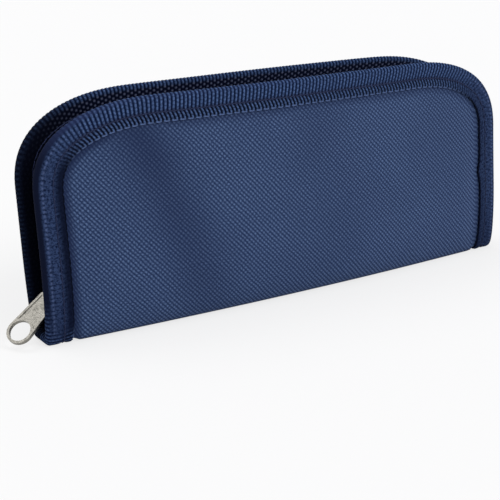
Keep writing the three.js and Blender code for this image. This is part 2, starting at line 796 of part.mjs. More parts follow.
function zipTail() {
  const top = zipFoot - stopHeight - 2 * clearance;
  const corner = tailHeight + tailBend;
  const line = [{ x: farX, z: top, angle: 0 }];
  for (const angle of steps(0, Math.PI / 2, 5)) {
    const x = farX - tailBend * (1 - Math.cos(angle));
    line.push({ x, z: Math.min(corner, top - clearance) - tailBend * Math.sin(angle), angle });
  }
  const bottom = line[line.length - 1];
  line.push({ x: tabMouth - tailGrip, z: bottom.z, angle: Math.PI / 2 });
  const w = tailWidth / 2;
  const c = tailCoilWidth / 2;
  const t = tailTape / 2;
  const k = tailCoil / 2;
  const under = [[-w, -t], [-c, -t], [-c, -k], [c, -k], [c, -t], [w, -t]];
  const section = [...under, ...under.map(([across, deep]) => [across, -deep]).reverse()];
  const rings = line.map(({ x, z, angle }) =>
    section.map(([across, deep]) => {
      const dx = deep * Math.cos(angle);
      const dz = deep * Math.sin(angle);
      return new THREE.Vector3(x + dx, middleY(tailHeight) + across, z - dz);
    }),
  );
  return sweptSolid(rings, section.map(([a, b]) => new THREE.Vector2(a, b)));
}

// The tab is a strip folded round the tail's end, open towards the slider's end of the case
function endTab() {
  const floor = tabFloor;
  const roof = tabFloor + tabHeight;
  const shape = new THREE.Shape();
  shape.moveTo(tabMouth, floor);
  shape.lineTo(tabMouth, floor + tabWall);
  shape.lineTo(tabNear + tabWall, floor + tabWall);
  shape.lineTo(tabNear + tabWall, roof - tabWall);
  shape.lineTo(tabMouth, roof - tabWall);
  shape.lineTo(tabMouth, roof);
  shape.lineTo(tabNear + tabWall, roof);
  shape.quadraticCurveTo(tabNear, roof, tabNear, roof - tabWall);
  shape.lineTo(tabNear, floor + tabWall);
  shape.quadraticCurveTo(tabNear, floor, tabNear + tabWall, floor);
  shape.closePath();
  const settings = { depth: tabWidth, bevelEnabled: false, curveSegments: 4 };
  const geometry = new THREE.ExtrudeGeometry(shape, settings);
  geometry.translate(0, 0, -tabWidth / 2);
  geometry.rotateX(Math.PI / 2);
  geometry.translate(0, middleY(tailHeight), 0);
  return geometry;
}

// The pieces, leaf by leaf
for (const [leaf, side] of [['front', FRONT], ['back', BACK]]) {
  place(`${leaf}_cover`, leafCover(side), finishes.cover);
  place(`${leaf}_foam`, leafFoam(side), finishes.foam);
  place(`${leaf}_foil_liner`, leafFoil(side), finishes.foil);
  place(`${leaf}_binding`, leafBinding(side), finishes.binding);
  place(`${leaf}_zip_tape`, zipTape(side), finishes.zipTape);
  place(`${leaf}_zip_coil`, zipCoil(side), finishes.zipCoil);
  place(`${leaf}_top_stop`, topStop(side), finishes.nickel);
}
const spineCover = spineSheet(halfLength - coverInset, foldTop, coverSeat, coverSeat + coverThickness);
place('spine_cover', spineCover, finishes.cover);
const spineLining = spineSheet(halfLength - padInset, foldTop, -stripSeat - spineStrip, -stripSeat);
place('spine_lining', spineLining, finishes.lining);
place('left_spine_fold', spineFold(-1), finishes.binding);
place('right_spine_fold', spineFold(1), finishes.binding);
place('elastic_strap', elasticStrap(), finishes.lining);
place('zip_bottom_stop', bottomStop(), finishes.nickel);
place('zip_tail', zipTail(), finishes.zipTape);
place('zip_end_tab', endTab(), finishes.lining);

// The slider's own frame leans with the chain
slider.rotation.x = -Math.atan(leanSlope);
place('slider_body', geometryOf(sliderBody()), finishes.nickel, slider);
place('pull_tab', pullPlate(), finishes.nickel, pull);
slider.add(pull);
coolingCase.add(slider);

// The case stands in the middle of its own box, with the pull's overhang counted in
coolingCase.updateMatrixWorld(true);
const reach = new THREE.Box3().setFromObject(coolingCase, true);
const middle = reach.getCenter(new THREE.Vector3());
coolingCase.position.set(-middle.x, -middle.y, -reach.min.z);

export default coolingCase;
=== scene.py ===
import json
import math

import bpy
import numpy as np
from mathutils import Matrix, Vector


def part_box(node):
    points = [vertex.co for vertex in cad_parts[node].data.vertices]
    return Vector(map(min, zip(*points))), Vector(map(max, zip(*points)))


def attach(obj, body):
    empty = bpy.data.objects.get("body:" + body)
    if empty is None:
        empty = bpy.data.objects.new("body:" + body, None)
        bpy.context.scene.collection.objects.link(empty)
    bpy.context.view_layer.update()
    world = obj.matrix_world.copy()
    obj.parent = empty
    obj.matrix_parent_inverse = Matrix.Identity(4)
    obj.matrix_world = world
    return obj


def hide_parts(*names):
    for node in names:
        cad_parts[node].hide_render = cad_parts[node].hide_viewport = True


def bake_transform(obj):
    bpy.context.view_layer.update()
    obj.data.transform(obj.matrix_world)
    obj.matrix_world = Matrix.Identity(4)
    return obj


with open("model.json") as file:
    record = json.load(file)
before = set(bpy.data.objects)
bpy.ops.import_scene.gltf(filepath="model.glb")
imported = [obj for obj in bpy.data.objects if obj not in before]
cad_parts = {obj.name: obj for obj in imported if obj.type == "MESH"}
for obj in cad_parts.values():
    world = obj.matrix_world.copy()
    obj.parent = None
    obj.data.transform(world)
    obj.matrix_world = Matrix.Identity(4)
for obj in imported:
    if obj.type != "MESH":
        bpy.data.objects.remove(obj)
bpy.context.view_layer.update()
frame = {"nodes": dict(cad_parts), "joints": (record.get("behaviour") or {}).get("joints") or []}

# The view: an insulin cooling case, zipped shut, stands on its spine on a pale floor. It is seen
# from its left and a little from above, in the even light of two wide lamps, as in a catalogue.
MM = 0.001
# Lengths are in millimetres, from the middle of the case's length and of its fold, until
# make_piece puts them in metres in the frame.
joints = {joint["name"]: joint for joint in frame["joints"]}
edge_low, edge_high = (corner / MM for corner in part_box("front_binding"))
hinge_lines = [Vector(joints[f"{leaf}_leaf_opening"]["pos_m"]) / MM for leaf in ("front", "back")]
case_shift = np.array([(edge_low.x + edge_high.x) / 2, (hinge_lines[0].y + hinge_lines[1].y) / 2, 0])
case_length = edge_high.x - edge_low.x
case_height = edge_high.z

camera_turn = math.radians(-31.73)
camera_rise = math.radians(17.02)
camera_roll = math.radians(-1.25)
camera_distance = 434.4
aim_height, aim_aside, aim_above = 45, -12.45, -28.85
image_pixels = 500
focal_pixels = 1170.7
sensor_width = 36

towards_camera = Vector((
    math.sin(camera_turn) * math.cos(camera_rise),
    -math.cos(camera_turn) * math.cos(camera_rise),
    math.sin(camera_rise),
))
level = (-towards_camera).cross(Vector((0, 0, 1))).normalized()
upright = level.cross(-towards_camera)
aside = math.cos(camera_roll) * level + math.sin(camera_roll) * upright
above = math.cos(camera_roll) * upright - math.sin(camera_roll) * level
aim = Vector((0, 0, aim_height)) + aim_aside * aside + aim_above * above + Vector(case_shift)
camera_data = bpy.data.cameras.new("view")
camera_data.sensor_width = sensor_width
camera_data.lens = focal_pixels * sensor_width / image_pixels
camera = bpy.data.objects.new("view", camera_data)
camera.matrix_world = Matrix.Translation((aim + camera_distance * towards_camera) * MM) @ Matrix(
    (aside, above, towards_camera)
).transposed().to_4x4()
bpy.context.scene.collection.objects.link(camera)
bpy.context.scene.camera = camera
bpy.context.scene.view_settings.view_transform = "Standard"


def dye(red, green, blue):
    """A colour written as it looks on a screen, as the linear colour that a shader takes."""
    def linear(level):
        share = level / 255
        return share / 12.92 if share <= 0.04045 else ((share + 0.055) / 1.055) ** 2.4
    return (linear(red), linear(green), linear(blue), 1)


def seen_rays(tree):
    """1 where the camera or a reflection looks, 0 where the light comes from."""
    rays = tree.nodes.new("ShaderNodeLightPath")
    seen = tree.nodes.new("ShaderNodeMath")
    seen.operation = "MAXIMUM"
    tree.links.new(rays.outputs["Is Camera Ray"], seen.inputs[0])
    tree.links.new(rays.outputs["Is Glossy Ray"], seen.inputs[1])
    return seen.outputs["Value"]


sky_light, sky_seen = 0.42, 1.0
world = bpy.data.worlds.new("studio")
world.use_nodes = True
sky = world.node_tree.nodes["Background"]
sky.inputs["Color"].default_value = dye(252, 252, 255)
sky_strength = world.node_tree.nodes.new("ShaderNodeMapRange")
sky_strength.inputs["To Min"].default_value = sky_light
sky_strength.inputs["To Max"].default_value = sky_seen
world.node_tree.links.new(seen_rays(world.node_tree), sky_strength.inputs["Value"])
world.node_tree.links.new(sky_strength.outputs["Result"], sky.inputs["Strength"])
bpy.context.scene.world = world

lamps = {
    "front_lamp": ((240, -700, 620), 34, 1.35),
    "top_lamp": ((-300, 260, 900), 50, 1.05),
}
for lamp_name, (place, spread, brightness) in lamps.items():
    lamp_data = bpy.data.lights.new(lamp_name, "SUN")
    lamp_data.angle = math.radians(spread)
    lamp_data.energy = brightness
    lamp = bpy.data.objects.new(lamp_name, lamp_data)
    lamp.location = Vector(place) * MM
    lamp.rotation_euler = (-Vector(place)).to_track_quat("-Z", "Y").to_euler()
    bpy.context.scene.collection.objects.link(lamp)

floor_reach, floor_whitening = 6000, 0.72
floor_corners = np.array([(-1, -1, 0), (1, -1, 0), (1, 1, 0), (-1, 1, 0)]) * floor_reach * MM
floor_mesh = bpy.data.meshes.new("floor")
floor_mesh.from_pydata(floor_corners.tolist(), [], [(0, 1, 2, 3)])
floor = bpy.data.objects.new("floor", floor_mesh)
floor_paint = bpy.data.materials.new("floor_paint")
floor_paint.use_nodes = True
floor_tree = floor_paint.node_tree
paint = floor_tree.nodes["Principled BSDF"]
paint.inputs["Base Color"].default_value = dye(243, 243, 244)
paint.inputs["Roughness"].default_value = 0.9
floor_glow = floor_tree.nodes.new("ShaderNodeEmission")
floor_blend = floor_tree.nodes.new("ShaderNodeMixShader")
floor_share = floor_tree.nodes.new("ShaderNodeMath")
floor_share.operation = "MULTIPLY"
floor_share.inputs[1].default_value = floor_whitening
for source, socket in (
    (seen_rays(floor_tree), floor_share.inputs[0]),
    (floor_share.outputs["Value"], floor_blend.inputs["Fac"]),
    (paint.outputs["BSDF"], floor_blend.inputs[1]),
    (floor_glow.outputs["Emission"], floor_blend.inputs[2]),
    (floor_blend.outputs["Shader"], floor_tree.nodes["Material Output"].inputs["Surface"]),
):
    floor_tree.links.new(source, socket)
floor_mesh.materials.append(floor_paint)
bpy.context.scene.collection.objects.link(floor)


# Front and back covers: navy polyester oxford cloth, cut with round upper corners, laid over the
# foam and round the spine, and caught under the binding all round. Each cover is one cloth from
# its rim to the middle of the spine, where it meets the other.
FRONT, BACK = -1, 1
leaves = {"front": FRONT, "back": BACK}
half_length = case_length / 2
lean_slope = joints["slider_travel"]["axis"][1] / joints["slider_travel"]["axis"][2]
spine_height, foot_run = 1.8, 7
bow_height, bow_arc = 28, 30
bow_top = spine_height + bow_height
middle_spread, end_spread = 14.2, 7.8
middle_flat, end_flat = 15, 8.4
corner_across, corner_down, corner_fullness = 48, 30, 2.4
quarter_turn = math.pi / 2
# Each crease: its place along the leaf, its lean, its half width and its depth.
creases = {
    FRONT: ((-62, -0.4, 11.5, 0.6), (8, -0.1, 13, 0.2)),
    BACK: ((52, 0.35, 9, 0.5), (-34, 0.1, 12, 0.25)),
}
crease_top, crease_foot_share = 66, 0.35
# A slow and a quick ripple: the height, the lengths along and up the leaf, and where each starts.
slow_ripple, slow_along, slow_up, slow_start, slow_foot, slow_apart = 0.3, 21, 24, 0.6, 0.4, 0.9
quick_ripple, quick_along, quick_up, quick_apart = 0.1, 9.5, 17, 2.2
rim_steps, edge_samples = (600, 500, 500), 12


def between_ends(x, at_middle, at_end):
    """A width that narrows from the case's middle to its two ends."""
    return at_middle - (at_middle - at_end) * (x / half_length) ** 2


def creased(side, x, climb):
    """The shallow leaning creases that storage leaves in each leaf, as their depth."""
    depth = 0
    for place, lean, width, full_depth in creases[side]:
        off = (x - place - lean * (climb - crease_top)) / width
        depth = depth + full_depth * np.exp(-(off ** 2))
    return depth * (crease_foot_share + (1 - crease_foot_share) * np.clip(climb / crease_top, 0, 1))


def ripple(side, x, climb):
    """How far the soft leaf strays from its clean curve."""
    slow = np.sin(x / slow_along + slow_apart * side + slow_start) * np.sin(climb / slow_up + slow_foot)
    quick = np.sin(x / quick_along + climb / quick_up + quick_apart * side)
    return slow_ripple * slow + quick_ripple * quick - creased(side, x, climb)


def on_leaf(side, x, climb, out):
    """Points `out` from a leaf's middle surface; climb runs along the cloth, up from the foot of
    its bow, and below 0 across the flat fold to the middle of the spine."""
    x, climb, out = np.broadcast_arrays(np.asarray(x, float), climb, out)
    turn = np.clip(climb / bow_arc, 0, 1) * quarter_turn
    foot = between_ends(x, middle_flat, end_flat) / 2
    width = between_ends(x, middle_spread, end_spread) - foot
    rise = bow_height * (1 - np.cos(turn)) + np.maximum(climb - bow_arc, 0)
    flat_share = 1 - np.clip(-climb / foot_run, 0, 1)
    stray = ripple(side, x, climb) * np.sin(turn)
    y = lean_slope * rise + side * (foot * flat_share + width * np.sin(turn) + stray)
    z = spine_height + rise
    climb_y = np.where(climb < 0, side, side * width * np.cos(turn) * quarter_turn / bow_arc)
    climb_z = np.where(climb > bow_arc, 1, bow_height * np.sin(turn) * quarter_turn / bow_arc)
    climb_z = np.where(climb < 0, 0, climb_z)
    climb_y = climb_y + lean_slope * climb_z
    size = np.hypot(climb_y, climb_z)
    return np.stack([x, y + side * climb_z / size * out, z - side * climb_y / size * out], -1)


def climb_at(z):
    """The climb that has the height z."""
    turn = np.arccos(np.clip(1 - (z - spine_height) / bow_height, 0, 1))
    return turn * bow_arc / quarter_turn + np.maximum(z - bow_top, 0)


def half_at(inset, z):
    """Half the leaf's length, `inset` in from its edge, at the height z."""
    across, down = corner_across - inset, corner_down - inset
    up = np.clip((z - (case_height - corner_down)) / down, 0, 1)
    return half_length - inset - across + across * (1 - up ** corner_fullness) ** (1 / corner_fullness)


def arched_line(foot, half, crown, across, down, steps, measure=np.asarray):
    """A line up the case's left end, round its corner, over the top and down the right end, as x
    and height. `steps` counts the points of an end, of a corner and of half the top."""
    end_steps, corner_steps, top_steps = steps
    power = 2 / corner_fullness
    turn = np.linspace(0, quarter_turn, corner_steps)
    corner_x = -half + across * (1 - np.cos(turn) ** power)
    corner_z = crown - down + down * np.sin(turn) ** power
    rise = np.linspace(foot, measure(corner_z[0]), end_steps)[:-1]
    top = np.linspace(corner_x[-1], 0, top_steps)[1:]
    left = np.concatenate([
        np.stack([np.full(len(rise), -half), rise], -1),
        np.stack([corner_x, measure(corner_z)], -1),
        np.stack([top, np.full(len(top), measure(crown))], -1),
    ])
    return np.concatenate([left, left[-2::-1] * [-1, 1]])


def steps_along(line):
    """The direction in which a line of points runs at each of them."""
    step = np.gradient(line, axis=0)
    return step / np.linalg.norm(step, axis=1)[:, None]


def inward_of(line):
    """The direction into the case at each point of an arched line."""
    step = steps_along(line)
    return np.stack([step[:, 1], -step[:, 0]], -1)


rim = arched_line(-foot_run, half_length, case_height, corner_across, corner_down, rim_steps, climb_at)


def edge_distance(x, climb):
    """How far a point of the leaf is from its edge, along the cloth."""
    flat_x, flat_climb = np.ravel(x), np.ravel(np.broadcast_to(climb, np.shape(x)))
    samples = rim[::edge_samples]
    near = [np.hypot(samples[:, 0] - a, samples[:, 1] - b).min() for a, b in zip(flat_x, flat_climb)]
    return np.reshape(near, np.shape(x))


def smooth_step(value, low, high):
    t = np.clip((value - low) / (high - low), 0, 1)
    return t * t * (3 - 2 * t)


def grid_sheet(outer, inner):
    """Points and faces of a closed sheet between two grids of points."""
    rows, columns = outer.shape[:2]
    number = np.arange(rows * columns).reshape(rows, columns)
    a, b, c, d = number[:-1, :-1], number[:-1, 1:], number[1:, 1:], number[1:, :-1]
    cells = np.stack([a, b, c, d], -1).reshape(-1, 4)
    border = np.concatenate([number[0, :-1], number[:-1, -1], number[-1, :0:-1], number[:0:-1, 0]])
    after = np.roll(border, -1)
    back = rows * columns
    rim_cells = np.stack([after, border, border + back, after + back], -1)
    faces = np.concatenate([cells, (cells + back)[:, ::-1], rim_cells])
    return np.concatenate([outer.reshape(-1, 3), inner.reshape(-1, 3)]), faces.tolist()


def faces_out(points, faces):
    """The faces turned so that they look out of the body that they close."""
    triangles = [face[:3] for face in faces] + [[f[0], f[2], f[3]] for f in faces if len(f) > 3]
    p = points[np.array(triangles)] - points.mean(0)
    volume = np.einsum("ij,ij->i", p[:, 0], np.cross(p[:, 1], p[:, 2])).sum()
    return faces if volume > 0 else [face[::-1] for face in faces]


def flat_places(along, across, apart):
    """Each point's place on its flat cloth; `apart` keeps one cloth's weave from another's."""
    return np.stack(np.broadcast_arrays(along, across, apart), -1).reshape(-1, 3)


def make_piece(name, points, faces, material, thread, **marks):
    """A mesh object in the frame. `thread` gives each point its place on the flat cloth, which
    the weave follows when the piece bends, and `marks` are further values that its finish reads.
    Both are repeated for the second face of a sheet."""
    mesh = bpy.data.meshes.new(name)
    mesh.from_pydata(((points + case_shift) * MM).tolist(), [], faces_out(points, faces))
    places = mesh.attributes.new("thread", "FLOAT_VECTOR", "POINT")
    places.data.foreach_set("vector", np.resize(thread, (len(points), 3)).astype(np.float32).ravel())
    for mark, values in marks.items():
        attribute = mesh.attributes.new(mark, "FLOAT", "POINT")
        attribute.data.foreach_set("value", np.resize(values, len(points)).astype(np.float32))
    mesh.polygons.foreach_set("use_smooth", [True] * len(mesh.polygons))
    mesh.materials.append(material)
    mesh.update()
    piece = bpy.data.objects.new(name, mesh)
    bpy.context.scene.collection.objects.link(piece)
    return piece


def leaf_sheet(name, side, x, climb, outer, inner, material, thread, **marks):
    """A sheet that follows its leaf, between two distances out from the leaf's middle surface."""
    points, faces = grid_sheet(on_leaf(side, x, climb, outer), on_leaf(side, x, climb, inner))
    return make_piece(name, points, faces, material, thread, **marks)


def bend_at_spine(piece):
    """Bakes the piece's placement into its points."""
    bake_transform(piece)


class Finish:
    """A material built up from a few kinds of node; each call gives back its node's output."""

    def __init__(self, name, roughness, metal=0.0, sheen=0.0, gloss=0.5):
        self.material = bpy.data.materials.new(name)
        self.material.use_nodes = True
        self.tree = self.material.node_tree
        self.shader = self.tree.nodes["Principled BSDF"]
        self.shader.inputs["Roughness"].default_value = roughness
        self.shader.inputs["Metallic"].default_value = metal
        self.shader.inputs["Sheen Weight"].default_value = sheen
        self.shader.inputs["Specular IOR Level"].default_value = gloss

    def node(self, kind):
        return self.tree.nodes.new(f"ShaderNode{kind}")

    def feed(self, socket, value):
        if isinstance(value, bpy.types.NodeSocket):
            self.tree.links.new(value, socket)
        else:
            socket.default_value = value

    def sum(self, operation, *values):
        node = self.node("Math")
        node.operation = operation
        for socket, value in zip(node.inputs, values):
            self.feed(socket, value)
        return node.outputs[0]

    def times(self, first, second):
        return self.sum("MULTIPLY", first, second)

    def thread(self):
        """The place on the flat cloth, and its two parts."""
        place = self.node("Attribute")
        place.attribute_name = "thread"
        split = self.node("SeparateXYZ")
        self.feed(split.inputs[0], place.outputs["Vector"])
        return place.outputs["Vector"], split.outputs["X"], split.outputs["Y"]

    def mark(self, name):
        """A value that the piece's points carry."""
        node = self.node("Attribute")
        node.attribute_name = name
        return node.outputs["Fac"]

    def scaled(self, place, by):
        node = self.node("VectorMath")
        node.operation = "MULTIPLY"
        self.feed(node.inputs[0], place)
        node.inputs[1].default_value = by
        return node.outputs[0]

    def noise(self, place, scale, detail=2.0, roughness=0.5):
        node = self.node("TexNoise")
        self.feed(node.inputs["Vector"], place)
        node.inputs["Scale"].default_value = scale
        node.inputs["Detail"].default_value = detail
        node.inputs["Roughness"].default_value = roughness
        return node.outputs["Fac"]

    def spread(self, value, low, high, to_low=0.0, to_high=1.0):
        """The value's stretch from low to high, eased into another stretch."""
        node = self.node("MapRange")
        node.interpolation_type = "SMOOTHSTEP"
        entries = {"Value": value, "From Min": low, "From Max": high, "To Min": to_low, "To Max": to_high}
        for name, entry in entries.items():
            self.feed(node.inputs[name], entry)
        return node.outputs[0]

    def waves(self, angle):
        """Waves from 0 to 1."""
        return self.spread(self.sum("SINE", angle), -1.0, 1.0)

    def mix(self, share, first, second):
        node = self.node("Mix")
        node.data_type = "RGBA"
        for number, value in ((0, share), (6, first), (7, second)):
            self.feed(node.inputs[number], value)
        return node.outputs[2]

    def colour(self, value):
        self.feed(self.shader.inputs["Base Color"], value)

    def relief(self, height, depth):
        """Bump of a height from 0 to 1 that stands for `depth` millimetres."""
        node = self.node("Bump")
        node.inputs["Distance"].default_value = depth * MM
        self.feed(node.inputs["Height"], height)
        self.feed(self.shader.inputs["Normal"], node.outputs[0])


def oxford_cloth():
    yarn_pitch, yarn_repeat, wander = 0.88, 1.82, 0.6
    # The last colour is the painted shade of creases, of the binding's edge and of the foot, and the dark of
    # a broad random mottle.
    yarn_shadow, yarn_dye, shade_and_mottle_dye = dye(23, 41, 77), dye(91, 114, 154), dye(20, 34, 68)
    cloth = Finish("oxford_cloth", roughness=0.88, gloss=0.2)
    place, along, across = cloth.thread()
    along = cloth.sum("MULTIPLY_ADD", cloth.noise(place, 0.12, 1.0), wander, along)
    across = cloth.sum("MULTIPLY_ADD", cloth.noise(place, 0.15, 1.0), wander, across)
    rise = cloth.times(across, 2 * math.pi / yarn_repeat)

    def ridge(slant):
        wave = cloth.sum("COSINE", cloth.sum("MULTIPLY_ADD", along, slant * math.pi / yarn_pitch, rise))
        return cloth.sum("MULTIPLY_ADD", wave, 0.5, 0.5)

    steep, shallow = ridge(1), ridge(-1)
    grain = cloth.times(cloth.sum("POWER", steep, 0.9), cloth.sum("MULTIPLY_ADD", shallow, 0.64, 0.34))
    fuzz = cloth.noise(place, 1.9, 3.0, 0.8)
    light = cloth.sum("ADD", cloth.spread(fuzz, 0.32, 0.68, -0.2, 0.2), grain)
    light = cloth.times(light, cloth.spread(fuzz, 0.3, 0.7, 0.5, 1.25))
    yarn = cloth.mix(light, yarn_shadow, yarn_dye)
    # Painted shade: the cloth darkens in its creases, beside the binding and along its foot, and a broad
    # random mottle adds to it.
    broad = cloth.spread(cloth.noise(place, 0.028, 2.0), 0.35, 0.65, 0.0, 0.12)
    shade = cloth.sum("ADD", cloth.mark("crease"), broad)
    shade = cloth.sum("MAXIMUM", shade, cloth.mark("painted_edge_shade"))
    cloth.colour(cloth.mix(shade, yarn, shade_and_mottle_dye))
    cloth.relief(cloth.sum("MULTIPLY_ADD", fuzz, 0.25, grain), 0.16)
    return cloth.material


binding_width = 9.6
cover_under = 1.1
cover_seat, cover_thickness, cover_rise = 0.2, 0.5, 1.3
pad_inset, swell_width = 13, 14
cover_swell_from, cover_swell_to = 9.8, 20
foot_swell_to, foot_flattening = 12.5, 0.3
foot_low, foot_high = 2, 14
# Painted shade beside the binding, deeper towards the left end, and along the cloth's foot.
tuck_from, tuck_to = binding_width + 0.4, binding_width + 4
tuck_shade, tuck_shade_gain, tuck_run = 0.5, 0.4, (60, 80)
foot_shade, foot_shade_run = 0.7, (2, 6)
cover_columns, cover_rows, fold_rows = 200, 78, 7
cover_weave_apart = 300.0
cover_top = case_height - cover_under
cover_cloth = oxford_cloth()


def swell(x, climb, start=pad_inset, end=pad_inset + swell_width):
    """0 beside the binding, 1 where the padding has its full thickness."""
    return smooth_step(edge_distance(x, climb), start, end)


def leaf_grid(climbs, inset, columns):
    """x and climb of a grid that fills a leaf's outline, `inset` in from its edge."""
    heights = on_leaf(FRONT, 0, climbs, 0)[:, 2]
    shares = np.linspace(-1, 1, columns + 1)
    return half_at(inset, heights)[:, None] * shares, np.repeat(climbs[:, None], columns + 1, axis=1)


def climbs_from_fold(top, rows):
    """Rows of a cloth from the middle of the spine to the height `top`."""
    return np.concatenate([np.linspace(-foot_run, 0, fold_rows)[:-1], np.linspace(0, climb_at(top), rows)])


for leaf, side in leaves.items():
    x, climb = leaf_grid(climbs_from_fold(cover_top, cover_rows), cover_under, cover_columns)
    rise = cover_rise * swell(x, climb, cover_swell_from, cover_swell_to)
    foot_rise = (cover_rise - foot_flattening) * swell(x, climb, cover_swell_from, foot_swell_to)
    seat = cover_seat + rise + (foot_rise - rise) * (1 - smooth_step(climb, foot_low, foot_high))
    step = np.diff(on_leaf(side, x, climb, seat + cover_thickness), axis=0)
    up_cloth = np.cumsum(np.hypot(step[..., 1], step[..., 2]), axis=0)
    thread = flat_places(x, np.pad(up_cloth, ((1, 0), (0, 0))), cover_weave_apart * side)
    # Marks for the finish: painted shade in the creases, beside the binding and along the foot.
    beside = 1 - smooth_step(edge_distance(x, climb), tuck_from, tuck_to)
    beside = beside * (tuck_shade + tuck_shade_gain * smooth_step(-x, *tuck_run))
    marks = {
        "crease": creased(side, x, climb),
        "painted_edge_shade": np.maximum(beside, foot_shade * (1 - smooth_step(climb, *foot_shade_run))),
    }
    cover = leaf_sheet(
        f"{leaf}_cover_cloth", side, x, climb, seat + cover_thickness, seat, cover_cloth, thread, **marks
    )
    bend_at_spine(cover)
    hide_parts(f"{leaf}_cover", "spine_cover")


# Front and back bindings: grosgrain tape folded over the leaf's raw edges and sewn through with
# one line of stitches. Its ribs run across the tape, and it goes on round the two ends of the
# spine, where the case stands on it.
half_edge = 1.8
tape_thickness = 0.8
inner_width, inner_leg_from = 8.5, 2.4
leg_steps = np.array([0, 0.08, 0.4, 0.9, 1.6, 2.2, 2.7, 3.1, 3.5, 4, 4.6, 5.4, 6.2, 7])
nose_turns = np.radians(np.arange(75, -76, -25))
edge_fall, edge_run, edge_tuck = 0.42, 1.1, 0.04
rib_line, rib_pitch, rib_depth, rib_fullness = 5, 1.5, 0.34, 0.85
rib_phases = (0, 0.12, 0.3, 0.5, 0.7, 0.88)
hem_lean, face_lean, face_lean_gain, lean_reach, lean_start = 0.75, 0.5, 0.45, 70, 1
stitch_inset, stitch_width, stitch_sink = 6.1, 0.9, 0.42
stitch_pitch, stitch_radius, stitch_steps = 2.9, 0.2, 8
stitch_flatness, stitch_middle, stitch_dive = 0.45, 0.55, 2.2
scallop, scallop_run, scallop_fullness = 0.34, 0.8, 0.6
kink_height, kink_length, kink_depth = 34, 3.5, 1.1
# Where up each end of the case the tape goes from ribbed to stretched flat, and back.
slack_feet = {"left": (3, 12), "right": (-5, 5)}
slack_tops = {"left": (60, 75), "right": (65, 79)}
slack_flattening, slack_across = 0.85, (0.7, 1.3)
# Where the finish reads wear with painted shade on the front's left nose, painted shade on the back tape and
# by the seam, both deeper to the left, and painted shade at the foot.
worn_shade_foot, worn_shade_top, tape_foot_shade_run = (8, 22), (66, 80), (4, 30)
back_shade_base, back_shade_gain, back_shade_run = 0.18, 0.7, (64, 90)
seam_shade_base, seam_shade_gain, seam_shade_run = 0.3, 0.7, (0, 60)
binding_weave_apart = 50.0
around_thread = np.linspace(0, 2 * math.pi, 7)[:-1]


def puff(inset, width):
    """How far a leg of the tape lies below its full height: at its edge and along the stitches."""
    at_stitch = stitch_sink * np.exp(-(((inset - stitch_inset) / stitch_width) ** 2))
    return at_stitch + edge_fall * smooth_step(inset, width - edge_run, width)


def length_along(line):
    """How far along a line of points each of them is."""
    return np.concatenate([[0], np.cumsum(np.linalg.norm(np.diff(line, axis=0), axis=1))])


def places_along(line, length, at, inset=0):
    """Places `inset` in from an arched line, at the lengths `at`, as x and height or climb. The
    line's own points are at `length`."""
    columns = np.concatenate([line, inward_of(line)], axis=1).T
    x, up, in_x, in_up = (np.interp(at, length, column) for column in columns)
    return x + inset * in_x, up + inset * in_up


def binding_section():
    """The tape's section as inset, out, share of the ribs' relief, and place across the tape."""
    outer = binding_width - leg_steps
    inner = inner_width - leg_steps[::-1][1:-1] * (inner_width - inner_leg_from) / leg_steps[-1]
    lining = half_edge - tape_thickness
    rows = [(binding_width - edge_tuck, lining, 0)]
    rows += [(inset, half_edge - puff(inset, binding_width), 1) for inset in outer]
    rows += [(half_edge * (1 - math.cos(turn)), half_edge * math.sin(turn), 1) for turn in nose_turns]
    rows += [(inset, -half_edge + puff(inset, inner_width), 1) for inset in inner]
    rows += [(inner_width, -lining, 0), (tape_thickness, -lining, 0), (tape_thickness, lining, 0)]
    section = np.array(rows)
    return np.column_stack([section, length_along(section[:, :2])])


def rim_places(side, inset, spacing, phases):
    """Stations along the rim, numbered evenly where the line at `inset` runs, and a function
    that gives the points at a number, each `inset` in from the rim."""
    length = length_along(on_leaf(side, *(rim + inset * inward_of(rim)).T, half_edge))
    count = round(length[-1] / spacing)

    def place(number, inset):
        return places_along(rim, length, np.clip(number, 0, count) * length[-1] / count, inset)

    return np.append((np.arange(count)[:, None] + np.array(phases)).ravel(), count), place


def at_end(x, ranges):
    """The low and high climb of a range that differs between the case's two ends."""
    return np.where(x[:, None] < 0, ranges["left"], ranges["right"]).T


def swept_tube(rings):
    """Points and faces of a section carried through a row of places, closed at both ends."""
    count, size = rings.shape[:2]
    number = np.arange(count * size).reshape(count, size)
    beside = np.roll(number, -1, axis=1)
    cells = np.stack([number[:-1], beside[:-1], beside[1:], number[1:]], -1).reshape(-1, 4)
    return rings.reshape(-1, 3), cells.tolist() + [number[0, ::-1].tolist(), number[-1].tolist()]


